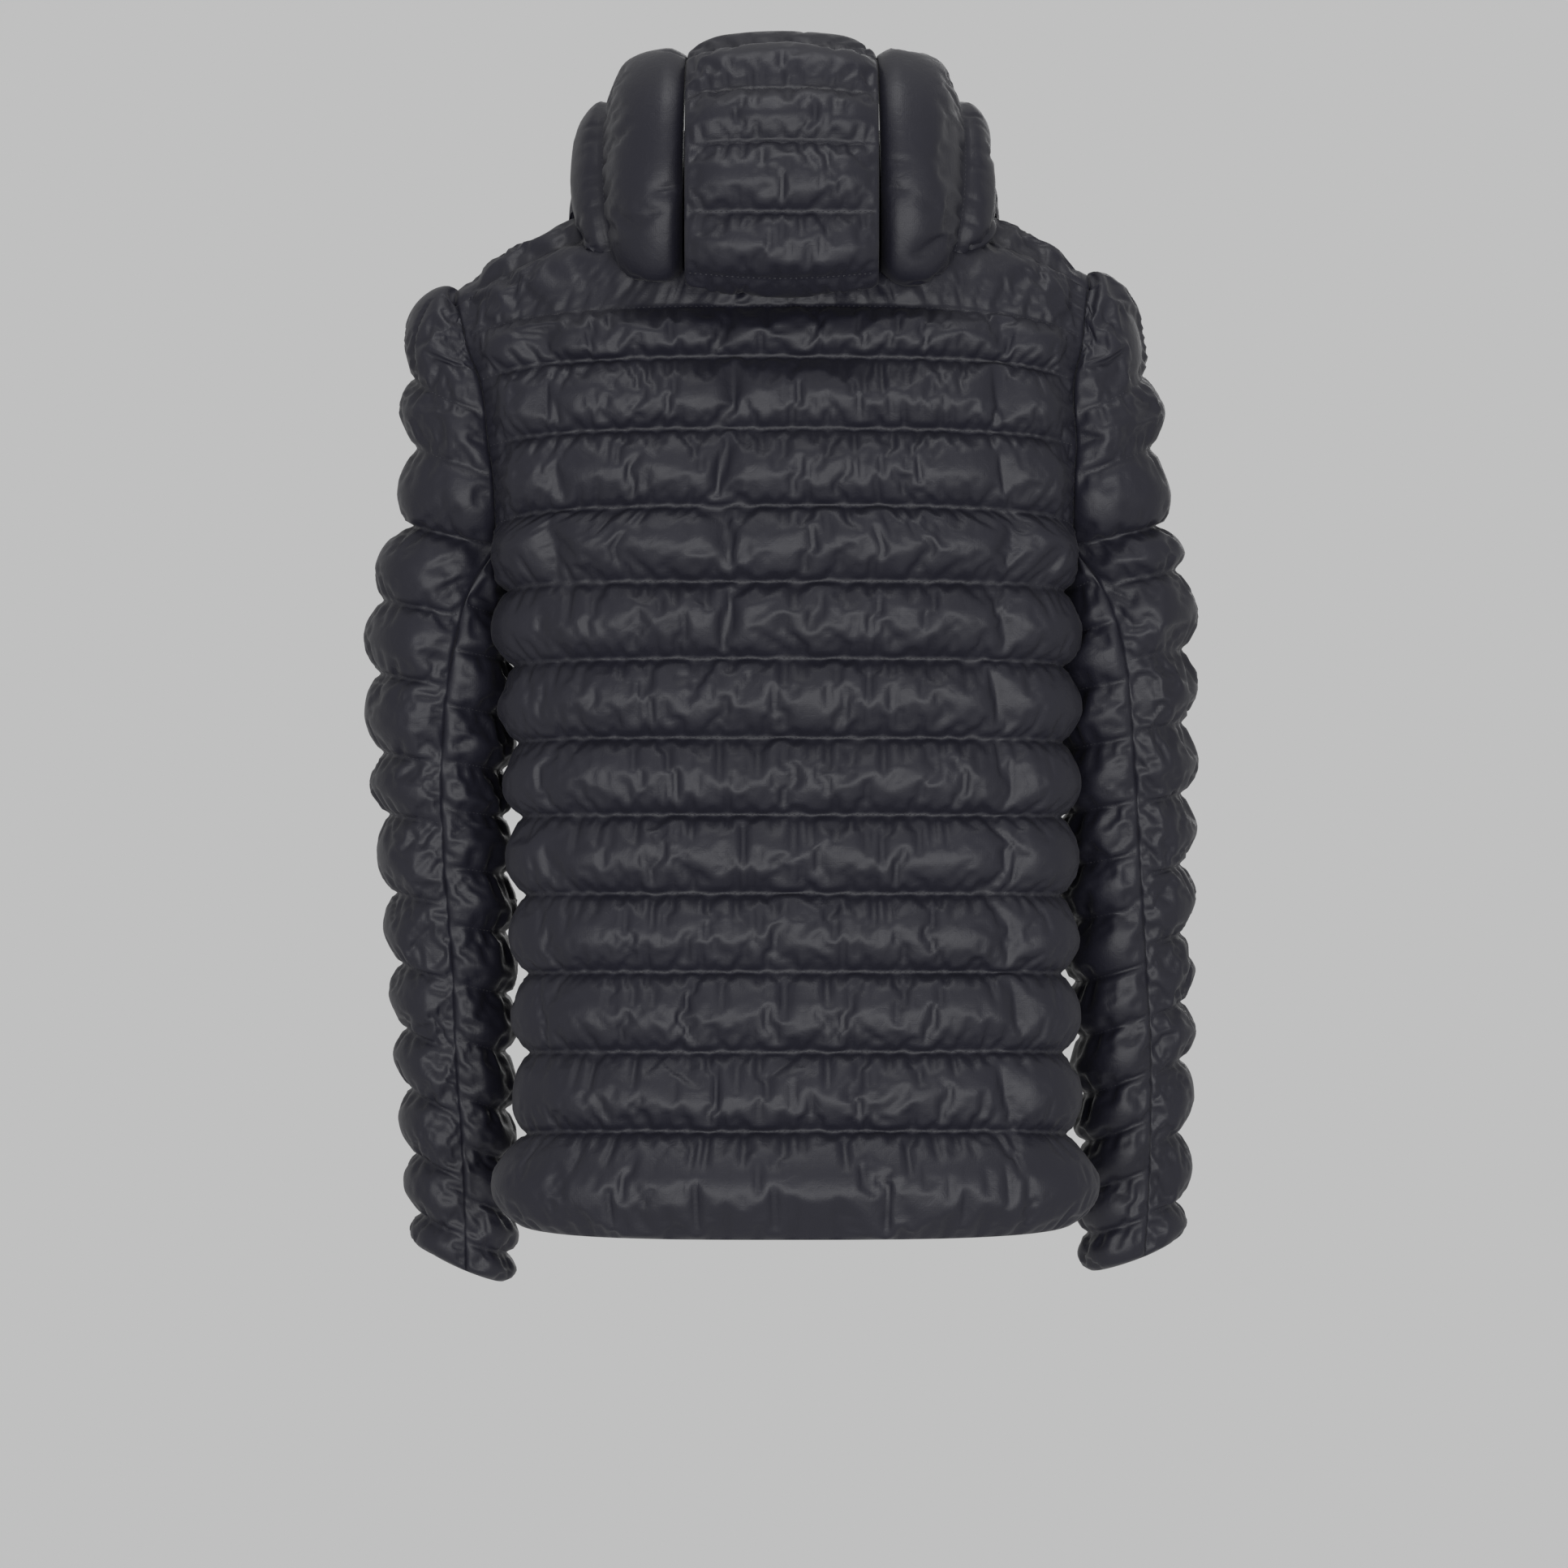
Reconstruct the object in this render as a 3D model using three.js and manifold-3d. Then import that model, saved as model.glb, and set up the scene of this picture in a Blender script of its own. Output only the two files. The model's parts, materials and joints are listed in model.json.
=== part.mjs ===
// Hooded puffer jacket in its worn, hollow form. Millimetres, +Z up.
// +Y is where the wearer faces, -X is the wearer's left, the origin is the middle of the neck seam.
// Every panel is a thin quilted wall: a plain inner face and an outer face raised between stitch lines.
import * as THREE from 'three';
import { mergeVertices } from 'three/addons/utils/BufferGeometryUtils.js';
import Module from 'manifold-3d';

// Driving dimensions
const WALL = 2.4; // thickness of a panel on its stitch lines
const SEAM_PULL = 0.3; // each panel stops this short of its seam
const INNER_PULL = 0.8; // the same on the inner face
const HOOD_PULL = 0.3; // the same on the hood
const SEGMENTS = 4; // steps across one quilt row
const HIDDEN_SEGMENTS = 3; // steps across a row of the fronts and under sleeves
const HOOD_SEGMENTS = 3; // steps across a row of the hood
const BODY_LOFT = 12; // rise of a body row above its stitch lines
const HEM_LOFT = 14; // rise of the deep row at the hem
const YOKE_LOFT = 7; // rise of the gathered band over the shoulders
const SLEEVE_LOFT = 9; // rise of a sleeve row
const UNDER_LOFT = 7; // rise of a row on the under sleeve
const HOOD_LOFT = 10; // rise of a hood row
const COLLAR_HEIGHT = 62; // stand at the centre front
const COLLAR_BACK_HEIGHT = 40;
const COLLAR_WALL = 3; // padded stand, plain inside
const COLLAR_LOFT = 3;
const COLLAR_INSET = 6.5; // the stand's outer face lies this far inside the neck seam
const COLLAR_LEAN = 4;
const COLLAR_COLUMNS = 11;
const COLLAR_ROWS = 2;
const COLLAR_LIFT = 1; // its foot stands this far above the neck seam
const COLLAR_START = 0.009; // share of the neck ring that the zip takes on either side
const ZIP_HALF_WIDTH = 5.2; // from the centre front to the edge of a front panel
const SOFT_EDGE = 32; // distance over which a row flattens into a side seam
const SOFT_POWER = 0.8;
const ROW_SAG = 0.88; // moves a row's fullest place below its middle
const ROW_ROUND = 0.75; // how round a row's section is, 1 is a sine

// Torso sections, one row per height: half widths of the section to the wearer's left and right,
// depth of the back and the front from the x axis, and how far the arms press the sides in
const TORSO = [
  { z: -676, left: 190, right: 206, back: 127, front: 122, dent: 0.09 },
  { z: -640, left: 193, right: 209, back: 130, front: 125, dent: 0.1 },
  { z: -605, left: 183, right: 201, back: 122, front: 122, dent: 0.1 },
  { z: -545, left: 182, right: 199, back: 116, front: 122, dent: 0.1 },
  { z: -440, left: 185, right: 198, back: 112, front: 122, dent: 0.1 },
  { z: -330, left: 191, right: 200, back: 118, front: 126, dent: 0.12 },
  { z: -240, left: 199, right: 202, back: 131, front: 130, dent: 0.185 },
  { z: -222, left: 201, right: 203, back: 133, front: 130, dent: 0.19 },
  { z: -200, left: 205, right: 206, back: 136, front: 130, dent: 0.155 },
  { z: -133, left: 219, right: 216, back: 139, front: 128, dent: 0.08 },
  { z: -60, left: 238, right: 223, back: 139, front: 124, dent: 0 },
  { z: 60, left: 250, right: 235, back: 139, front: 120, dent: 0 },
];
const TORSO_MIDDLE_Y = -47; // the ridge of the shoulders lies in this plane
const BOXINESS = 0.75; // exponent of the rounded section, 1 is an ellipse
const DENT_Y = 14; // the arms press the sides in around this depth
const DENT_WIDTH = 62;
const ARM_PRESS = { y: 4, width: 50, share: 0.85 }; // and flatten the rows there
const ARMHOLE_SOFT_EDGE = 38; // distance over which a row flattens into the armhole
const ARMHOLE_SOFT_POWER = 1.6;
const UNDER_SOFT_EDGE = 60; // the same on the under sleeve
const UNDER_SOFT_POWER = 1.5;
const CHEST_Z = -200; // above this the body rounds over to the shoulders
const OVER_RISE = 2.6; // exponents of that rounding, up and in
const OVER_DEPTH = 1.6;
// Outward direction of the body: exponents across, along and up, and the lean over the shoulders
const OUTWARD = { across: 3, along: 1.4, up: 4, lean: 0.003, mostLean: 0.45 };

// Shoulder ridge: height at the neck point, then slope and fall per mm outwards
const RIDGE = {
  left: { neck: 43, slope: 0.24, fall: 0.00126 },
  right: { neck: 43, slope: 0.244, fall: 0.00114 },
};
const NECK_HALF = 78;
const NECK_BACK_Z = 15;
const NECK_FRONT_Z = -42;
const NECK_BACK_POWER = 2.2; // the neck seam dips flat across the back
const SEAM_BEHIND = 12; // the shoulder seam lies this far below the ridge, on the back
const SHOULDER_END_Z = -23; // height at which the shoulder seam meets the armhole
const NECK_SEAM_INSET = 3; // and how far inside the neck's half width it starts

// Quilt lines of the back: height at the centre back and at the side seam or armhole
const BACK_LINES = [
  { centre: -676.7, end: -666.3 },
  { centre: -603, end: -611.7 },
  { centre: -549, end: -553.7 },
  { centre: -494.5, end: -498.6 },
  { centre: -440.6, end: -443.9 },
  { centre: -386.6, end: -389.3 },
  { centre: -333.8, end: -338.7 },
  { centre: -279.8, end: -286.9 },
  { centre: -227.5, end: -235.6 },
  { centre: -176.3, end: -187.7 },
  { centre: -124, end: -133.2 },
  { centre: -74.5, end: -87.6 },
  { centre: -38.7, end: -58.3 },
];
const LINE_DROP_POWER = 3.2; // the lines are level over the back and drop towards its sides
const FRONT_HEM_RISE = 6; // the hem and lines of the fronts end this much higher at the zip

// Armhole: distance from the centre, from the shoulder down to the level of its round foot
const ARMHOLE = [
  { z: -133.2, left: 205, right: 203 },
  { z: -92, left: 209, right: 200 },
  { z: -58, left: 221, right: 207 },
  { z: -20, left: 228, right: 212 },
  { z: 0, left: 229, right: 213 },
];
const FRONT_ARMHOLE_SCOOP = 7; // the front armhole lies this much further in
const UNDERARM_Z = -210.3;
const ARMHOLE_FOOT_Z = -133.2;
const ARMHOLE_FOOT_STEPS = 6;
const FOOT_BAND = 8; // the row of the back in which the foot starts; it ends with the next one
const FOOT_SHARES = [0.42, 0.62, 0.82]; // its steps in that row
const BELOW_FOOT_SHARE = 0.22;
const SIDE_SEAM_Y = [
  { z: -676, y: -22 },
  { z: -440, y: -22 },
  { z: -300, y: -12 },
  { z: -210, y: 0 },
];

// Columns: a half of the back has 4 steps along the neck and 5 along the shoulder
const BACK_NECK_STEPS = 4;
const FRONT_NECK_STEPS = 5;
const SHOULDER_STEPS = 5;
const COLUMN_CROWDING = 1.25; // columns stand closer towards the sides
const FRONT_CROWDING = 0.92; // and on the fronts towards the zip
const FRONT_TOP_ROWS = 3; // rows of a front above the armhole's foot
const FRONT_TOP_SHARE = 0.45; // share of the loft that its highest row keeps
const SCOOP_POWER = 1.5;

// Upright folds of the back, soft troughs that cross the rows: place, reach and share of the loft
const BACK_FOLDS = [
  { x: -158, halfWidth: 16, share: 0.32, top: 0, bottom: -620 },
  { x: -36, halfWidth: 14, share: 0.3, top: -60, bottom: -300 },
  { x: 147, halfWidth: 17, share: 0.38, top: 0, bottom: -620 },
];

// Sleeve rings: height of the middle, distance of the ring's middle from the centre, its half width,
// its middle and half depth front to back, the rise of its outer side, and the back seam's angle
const SLEEVES = {
  left: [
    { z: -150, x: 226, halfWidth: 48, y: -14, halfDepth: 72, tilt: 24, backSeam: 124 },
    { z: -210, x: 234, halfWidth: 46, y: -9, halfDepth: 70, tilt: 12, backSeam: 122 },
    { z: -270, x: 240, halfWidth: 45, y: -1, halfDepth: 68, tilt: 9, backSeam: 104 },
    { z: -345, x: 242.5, halfWidth: 42, y: 12, halfDepth: 64, tilt: 8, backSeam: 95 },
    { z: -420, x: 239, halfWidth: 39, y: 24, halfDepth: 60, tilt: 6, backSeam: 91 },
    { z: -495, x: 236, halfWidth: 37, y: 35, halfDepth: 55, tilt: 10, backSeam: 94 },
    { z: -558, x: 235, halfWidth: 34.5, y: 43, halfDepth: 51, tilt: 15, backSeam: 95 },
    { z: -615, x: 233, halfWidth: 32.5, y: 50, halfDepth: 46, tilt: 16, backSeam: 98 },
    { z: -672, x: 230.5, halfWidth: 31, y: 57, halfDepth: 41, tilt: 14, backSeam: 96 },
    { z: -712, x: 230, halfWidth: 28, y: 62, halfDepth: 37, tilt: 12, backSeam: 96 },
  ],
  right: [
    { z: -150, x: 222, halfWidth: 48, y: -14, halfDepth: 72, tilt: 24, backSeam: 118 },
    { z: -210, x: 231, halfWidth: 46, y: -9, halfDepth: 70, tilt: 12, backSeam: 114 },
    { z: -270, x: 236, halfWidth: 45, y: -1, halfDepth: 68, tilt: 10, backSeam: 91 },
    { z: -345, x: 240, halfWidth: 42, y: 12, halfDepth: 64, tilt: 9, backSeam: 84 },
    { z: -420, x: 243, halfWidth: 39, y: 24, halfDepth: 60, tilt: 9, backSeam: 80 },
    { z: -495, x: 246, halfWidth: 37, y: 35, halfDepth: 55, tilt: 12, backSeam: 75 },
    { z: -558, x: 249, halfWidth: 34.5, y: 43, halfDepth: 51, tilt: 15, backSeam: 72 },
    { z: -615, x: 250, halfWidth: 32.5, y: 50, halfDepth: 46, tilt: 15, backSeam: 71 },
    { z: -672, x: 250, halfWidth: 31, y: 57, halfDepth: 41, tilt: 12, backSeam: 72 },
    { z: -706, x: 249, halfWidth: 28, y: 61, halfDepth: 37, tilt: 10, backSeam: 72 },
  ],
};
const FRONT_SEAM_ANGLE = -98;

// Quilt lines of the sleeves at the back seam, from the armpit down to the cuff's edge
const TOP_LINES = {
  left: [-247, -296, -351, -393, -450, -504, -554.6, -599, -645, -687, -712],
  right: [-228, -280, -331, -381, -432, -483, -535, -578, -629, -676, -706],
};
const UNDER_LINES = {
  left: [-239, -270, -309, -348, -382, -423, -463.5, -504.6, -543, -583.5, -619, -658, -690, -712],
  right: [-222, -252.6, -293, -333, -378, -415, -453, -495, -532.6, -572.6, -607, -643, -677, -706],
};
// Places of the cap's quilt lines on the armhole, counted in its steps down from the shoulder seam
const CAP_LINES = [2, 10, 13, 16];
const UNDER_STEP = 16;
const MITRE_STEPS = 14; // down to here body and sleeve share one mitred edge, below they part in the armpit
const SLEEVE_COLUMNS = 9;
const UNDER_COLUMNS = 5;
const CAP_REACH = [
  { step: 2, out: 5, lift: 9, swell: 0 },
  { step: 5, out: 26, lift: 19, swell: 2 },
  { step: 8, out: 44, lift: 18, swell: 4 },
  { step: 10, out: 54, lift: 23, swell: 6 },
  { step: 13, out: 65, lift: 23, swell: 9 },
  { step: 16, out: 75, lift: 16, swell: 15 },
];
const CAP_ROUND = 0.9; // how round a cap row is, 1 is a half ellipse
const SLEEVE_MIDDLE = { top: [200, 20, -400], under: [240, 30, -400] }; // points inside the panels' curves
const CROWN_OUT = [0.3, 0, 1]; // outward direction where the cap meets the shoulder seam
const DENSE_ROWS = { top: 20, under: 7 }; // stations near the armhole that the inner face keeps
const CAP_FOOT_Z = -200; // below this the sleeve turns from the armhole's shape to its own rings
const RINGS_FROM_Z = -262;
const FOOT_BOW = 6; // and bows out this far on the way
// The fold that runs down from the cap into the armpit
const CAP_FOLD = { angle: 58, halfAngle: 16, share: 0.55, top: 7, bottom: 16 };

// Side profile of the hood's centre strip, from the neck seam back, up and over to the face
const HOOD_PROFILE = [
  { y: -106, z: 18 },
  { y: -120, z: -6 },
  { y: -141, z: -26 },
  { y: -161, z: -20 },
  { y: -173, z: 12 },
  { y: -172, z: 56 },
  { y: -156, z: 96 },
  { y: -120, z: 126 },
  { y: -68, z: 137 },
  { y: -10, z: 137 },
  { y: 36, z: 129 },
];
const HOOD_LINES = [0, 0.193, 0.297, 0.41, 0.51, 0.645, 0.8, 1]; // shares of the profile's length
const HOOD_SEAM = { left: 67, right: 64 }; // half widths of the centre strip
const HOOD_COLUMNS = 6;
const HOOD_SIDE_STEPS = 14;
const HOOD_SIDE_LINES = [1, 0.78, 0.58, 0.4, 0.24]; // shares of the way from the chin to the centre seam
const HOOD_TIP = 0.08; // the side panel's tapered end at the chin
const HOOD_TIP_FULL = 0.8;
const HOOD_BULGE = { out: 58, back: 16, down: 22 };
const HOOD_ROUND = 0.8; // how round the side panel is along and across
const HOOD_LOW_SHARE = 0.5; // the part of its sweep that sags behind the neck
const HOOD_LEAN = { centre: 0.9, seam: 0.45 }; // how far outward directions lean to the sides
const HOOD_FOOT = { out: 3.4, up: 1.2 }; // the hood's foot beside the neck seam
const HOOD_DOME = 6; // the centre strip's own curve across
const FACE_EDGE = [
  { x: 44, y: 106, z: 2 },
  { x: 84, y: 88, z: 52 },
  { x: 88, y: 60, z: 102 },
]; // the face opening between the chin and the centre strip
const CHIN_SHARE = 0.06; // where the hood starts on the neck ring, from the centre front
const REST_GAP = 3; // the hood rests this far above the shoulders
const REST_START = 0.6; // at the neck seam it lies closer,
const REST_RISE = 0.8; // and comes up by this much per mm from it
const REST_SLOPE = 0.35; // steepest slope of the shoulders, as the height of its outward direction
const TUCKED_SHARE = 0.3; // share of the loft on the hood's underside
const BELOW_ALL = -1000; // height where there are no shoulders
const RING_SAMPLES = Array.from({ length: 25 }, (_, index) => index / 24); // places on the neck seam
const SEAM_TRIES = 200; // places tried for the centre strip's seam on the neck ring

// Zip
const TAPE_THICKNESS = 1.6;
const TAPE_GAP = 0.4;
const ZIP_STEPS = 24;
const ZIP_COLLAR_STEPS = 3;
const ZIP_FOOT_RISE = 1; // the tapes end this far above the fronts' hem
const ZIP_SINK = 1; // and lie this far behind the fronts' edges
const TAPE_EDGE_GAP = 0.5; // between a tape and its front panel
const SLIDER = {
  width: 8.4, height: 12, plate: 2.2, gap: 0.3, belowTop: 9, bailWidth: 2.2, bailOut: 3.4, bailIn: 1.9,
  above: 0.38, below: 0.62, crown: 0.5, footHalf: 0.32,
}; // the last four are shares of its height and width
const HINGE_STANDOFF = 1.9; // from the slider's plate to the pull's wire
const PULL = {
  length: 32, width: 7, thickness: 1.4, wireRadius: 0.8, mouth: 3.8, armTop: 6.4, lap: 0.4, tipRadius: 2.94,
};

const CLOTH = { color: 0x2b2b31, roughness: 0.5, metalness: 0 };
const CLOTH_SHADE = { color: 0x26262c, roughness: 0.55, metalness: 0 };
const TAPE = { color: 0x1b1b1f, roughness: 0.8, metalness: 0 };
const METAL = { color: 0x23232a, roughness: 0.4, metalness: 0.6 };

// Small helpers
const mix = (from, to, share) => from + (to - from) * share;
const clamp = (value, low, high) => Math.min(high, Math.max(low, value));
const radians = (degrees) => (degrees * Math.PI) / 180;
const signedPower = (value, power) => Math.sign(value) * Math.abs(value) ** power;
const add = (a, b, scale = 1) => [a[0] + b[0] * scale, a[1] + b[1] * scale, a[2] + b[2] * scale];
const between = (a, b, share) => [0, 1, 2].map((axis) => mix(a[axis], b[axis], share));
const distance = (a, b) => Math.hypot(a[0] - b[0], a[1] - b[1], a[2] - b[2]);
const unit = (a) => {
  const length = Math.hypot(...a) || 1;
  return a.map((part) => part / length);
};
const steps = (count) => Array.from({ length: count + 1 }, (_, index) => index / count);

// A column of a table at a place between its rows, on a smooth curve through them
function sample(rows, key, place, column) {
  const rising = rows[0][key] < rows[rows.length - 1][key] ? rows : [...rows].reverse();
  const at = clamp(place, rising[0][key], rising[rising.length - 1][key]);
  let index = 0;
  while (index < rising.length - 2 && at > rising[index + 1][key]) index += 1;
  const low = rising[index];
  const high = rising[index + 1];
  const before = rising[Math.max(0, index - 1)];
  const after = rising[Math.min(rising.length - 1, index + 2)];
  const span = high[key] - low[key];
  const share = (at - low[key]) / span;
  const slopeLow = ((high[column] - before[column]) / (high[key] - before[key])) * span;
  const slopeHigh = ((after[column] - low[column]) / (after[key] - low[key])) * span;
  const s2 = share * share;
  const s3 = s2 * share;
  return (
    (2 * s3 - 3 * s2 + 1) * low[column] +
    (s3 - 2 * s2 + share) * slopeLow +
    (3 * s2 - 2 * s3) * high[column] +
    (s3 - s2) * slopeHigh
  );
}

// How full a row stands, 0 on its stitch lines and 1 just below its middle
const fullness = (share) => Math.sin(Math.PI * clamp(share, 0, 1) ** ROW_SAG) ** ROW_ROUND;

// A closed wall from rows of outer and inner points; rows may differ in how many points they hold
class Wall {
  constructor() {
    this.points = [];
    this.faces = [];
  }

  row(points) {
    return points.map((point) => {
      this.points.push(point);
      return this.points.length - 1;
    });
  }

  // Triangles between two rows, always across the shorter diagonal
  bridge(rowA, rowB, turned) {
    let a = 0;
    let b = 0;
    while (a < rowA.length - 1 || b < rowB.length - 1) {
      const pointA = this.points[rowA[a]];
      const pointB = this.points[rowB[b]];
      const stepA = a < rowA.length - 1 ? distance(this.points[rowA[a + 1]], pointB) : Infinity;
      const stepB = b < rowB.length - 1 ? distance(pointA, this.points[rowB[b + 1]]) : Infinity;
      const face = stepA < stepB ? [rowA[a], rowA[a + 1], rowB[b]] : [rowA[a], rowB[b + 1], rowB[b]];
      this.faces.push(turned ? face.reverse() : face);
      if (stepA < stepB) a += 1;
      else b += 1;
    }
  }

  // Joins all rows into one closed body
  close(outer, inner) {
    const outerRows = outer.map((points) => this.row(points));
    const innerRows = inner.map((points) => this.row(points));
    for (let index = 1; index < outerRows.length; index += 1) {
      this.bridge(outerRows[index - 1], outerRows[index], false);
    }
    for (let index = 1; index < innerRows.length; index += 1) {
      this.bridge(innerRows[index - 1], innerRows[index], true);
    }
    const first = (rows) => rows.map((row) => row[0]);
    const last = (rows) => rows.map((row) => row[row.length - 1]);
    this.bridge(outerRows[0], innerRows[0], true);
    this.bridge(outerRows[outerRows.length - 1], innerRows[innerRows.length - 1], false);
    this.bridge(first(outerRows), first(innerRows), false);
    this.bridge(last(outerRows), last(innerRows), true);
    return this;
  }

  geometry() {
    const shape = new THREE.BufferGeometry();
    shape.setAttribute('position', new THREE.Float32BufferAttribute(this.points.flat(), 3));
    shape.setIndex(this.faces.flat());
    if (this.volume() < 0) shape.setIndex(this.faces.flatMap((face) => [face[0], face[2], face[1]]));
    shape.computeVertexNormals();
    return shape;
  }

  volume() {
    return this.faces.reduce((total, [a, b, c]) => {
      const [p, q, r] = [this.points[a], this.points[b], this.points[c]];
      const cross = [q[1] * r[2] - q[2] * r[1], q[2] * r[0] - q[0] * r[2], q[0] * r[1] - q[1] * r[0]];
      return total + (p[0] * cross[0] + p[1] * cross[1] + p[2] * cross[2]) / 6;
    }, 0);
  }
}

// Draws the borders of a grid of points in by a small distance, so that pieces stand apart at seams
function pullBorders(rows, pull) {
  const moved = rows.map((row) => row.map((point) => [...point]));
  const towards = (point, next) => add(point, unit(add(next, point, -1)), pull);
  moved.forEach((row, index) => {
    const end = row.length - 1;
    row[0] = towards(row[0], rows[index][1]);
    row[end] = towards(row[end], rows[index][end - 1]);
  });
  const nearest = (point, row) =>
    row.reduce((best, other) => (distance(point, other) < distance(point, best) ? other : best));
  const drawn = (edge, next) => edge.map((point) => towards(point, nearest(point, next)));
  const count = moved.length;
  const bottom = drawn(moved[0], moved[1]);
  const top = drawn(moved[count - 1], moved[count - 2]);
  moved[0] = bottom;
  moved[count - 1] = top;
  return moved;
}

// A quilted panel. Each station is a row of base points with its outward directions and rises.
// innerRows says which stations the plain inner face keeps.
function panel(stations, innerRows) {
  const outer = stations.map(({ base, out, rise }) => base.map((p, i) => add(p, out[i], rise[i])));
  const inner = innerRows.map((index) => {
    const { base, out, inset } = stations[index];
    return base.map((p, i) => add(p, out[i], -(inset ? inset[i] : WALL)));
  });
  return new Wall().close(pullBorders(outer, SEAM_PULL), pullBorders(inner, INNER_PULL)).geometry();
}

// Torso surface
function torsoSize(z, side) {
  return {
    half: sample(TORSO, 'z', z, side),
    back: sample(TORSO, 'z', z, 'back') + TORSO_MIDDLE_Y,
    front: sample(TORSO, 'z', z, 'front') - TORSO_MIDDLE_Y,
    dent: sample(TORSO, 'z', z, 'dent'),
  };
}

const sideOf = (x) => (x < 0 ? 'left' : 'right');

function ridgeHeight(x) {
  const { neck, slope, fall } = RIDGE[sideOf(x)];
  const beyond = Math.max(0, Math.abs(x) - NECK_HALF);
  return neck - slope * beyond - fall * beyond * beyond;
}

// Share of the full depth that is left at a height, as the body rounds over to the ridge
function overShare(x, z) {
  const climb = clamp((z - CHEST_Z) / (ridgeHeight(x) - CHEST_Z), 0, 1);
  return (1 - climb ** OVER_RISE) ** (1 / OVER_DEPTH);
}

const pressed = (x, y, dent) => x * (1 - dent * Math.exp(-(((y - DENT_Y) / DENT_WIDTH) ** 2)));

// A point of the section at a height. The angle is 0 at the centre back and grows to either side.
function torsoByAngle(z, angle) {
  const { half, back, front, dent } = torsoSize(z, angle < 0 ? 'left' : 'right');
  const x = half * signedPower(Math.sin(angle), BOXINESS);
  const depth = Math.abs(Math.cos(angle)) ** BOXINESS * overShare(x, z);
  const y = TORSO_MIDDLE_Y + (Math.cos(angle) > 0 ? -back : front) * depth;
  return [pressed(x, y, dent), y, z];
}

// Depth factor of the section at a distance from the centre
const sectionShare = (x, half) =>
  Math.max(0, 1 - Math.min(1, Math.abs(x) / half) ** (2 / BOXINESS)) ** (BOXINESS / 2);

// A point above the chest. The turn is 0 at the front, a quarter on the ridge and a half at the back.
function torsoOver(x, turn) {
  const rise = Math.sin(turn) ** (2 / OVER_RISE);
  const z = CHEST_Z + (ridgeHeight(x) - CHEST_Z) * rise;
  const { half, back, front, dent } = torsoSize(z, sideOf(x));
  const depth = Math.abs(Math.cos(turn)) ** (2 / OVER_DEPTH) * sectionShare(x, half);
  const y = TORSO_MIDDLE_Y + (Math.cos(turn) > 0 ? front : -back) * depth;
  return [pressed(x, y, dent), y, z];
}

function turnAt(x, z, front) {
  const climb = clamp((z - CHEST_Z) / (ridgeHeight(x) - CHEST_Z), 0, 1);
  const turn = Math.asin(climb ** (OVER_RISE / 2));
  return front ? turn : Math.PI - turn;
}

// Outward direction on the torso, the same for two panels that meet there
function torsoOut([x, y, z]) {
  const { half, back, front } = torsoSize(z, sideOf(x));
  const depth = y < TORSO_MIDDLE_Y ? back : front;
  const across = signedPower(x / half, OUTWARD.across);
  const along = signedPower((y - TORSO_MIDDLE_Y) / depth, OUTWARD.along);
  const climb = clamp((z - CHEST_Z) / (ridgeHeight(x) - CHEST_Z), 0, 1);
  const tilt = Math.min(OUTWARD.mostLean, Math.max(0, Math.abs(x) - NECK_HALF) * OUTWARD.lean);
  const up = climb ** OUTWARD.up;
  return unit([across * (1 - up) + Math.sign(x) * tilt * up, along, up]);
}

const angleOfX = (x, half) => Math.asin(Math.min(1, (Math.abs(x) / half) ** (1 / BOXINESS)));

// Angle of the side seam, from the depth at which it lies
function sideSeamAngle(z, side) {
  const { front } = torsoSize(z, side);
  const ahead = sample(SIDE_SEAM_Y, 'z', z, 'y') - TORSO_MIDDLE_Y;
  return Math.PI / 2 + Math.asin((ahead / front) ** (1 / BOXINESS));
}

// Border angle on the armhole's round foot: share 0 at the underarm, 1 where the armhole runs straight
function footAngle(share, side, front) {
  const under = sideSeamAngle(UNDERARM_Z, side);
  const { half } = torsoSize(ARMHOLE_FOOT_Z, side);
  const scoop = front ? FRONT_ARMHOLE_SCOOP : 0;
  const straight = angleOfX(sample(ARMHOLE, 'z', ARMHOLE_FOOT_Z, side) - scoop, half);
  const end = front ? Math.PI - straight : straight;
  return mix(end, under, 1 - Math.sin((share * Math.PI) / 2));
}

const footHeight = (share) =>
  mix(UNDERARM_Z, ARMHOLE_FOOT_Z, 1 - Math.cos((share * Math.PI) / 2));

// Stations of the body's side border from the hem to the foot's top: quilt row, share and height
function borderStations(segments) {
  const stations = [];
  for (let band = 0; band < FOOT_BAND; band += 1) {
    for (let step = 0; step < segments; step += 1) {
      const share = step / segments;
      const z = mix(BACK_LINES[band].end, BACK_LINES[band + 1].end, share);
      stations.push({ band, share, z, foot: null });
    }
  }
  const low = BACK_LINES[FOOT_BAND].end;
  stations.push({ band: FOOT_BAND, share: 0, z: low, foot: null });
  stations.push({ band: FOOT_BAND, share: BELOW_FOOT_SHARE, z: mix(low, UNDERARM_Z, 0.5), foot: null });
  const inFootBand = FOOT_SHARES.length;
  for (let step = 0; step < ARMHOLE_FOOT_STEPS; step += 1) {
    const foot = step / ARMHOLE_FOOT_STEPS;
    const above = step >= inFootBand;
    const band = above ? FOOT_BAND + 1 : FOOT_BAND;
    const share = above ? (step - inFootBand) / inFootBand : FOOT_SHARES[step];
    stations.push({ band, share, z: footHeight(foot), foot });
  }
  stations.push({ band: FOOT_BAND + 2, share: 0, z: ARMHOLE_FOOT_Z, foot: 1 });
  return stations;
}

const stationAngle = (station, side, front) =>
  station.foot === null ? sideSeamAngle(station.z, side) : footAngle(station.foot, side, front);

const crowded = (share) => signedPower(share, COLUMN_CROWDING);

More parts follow.
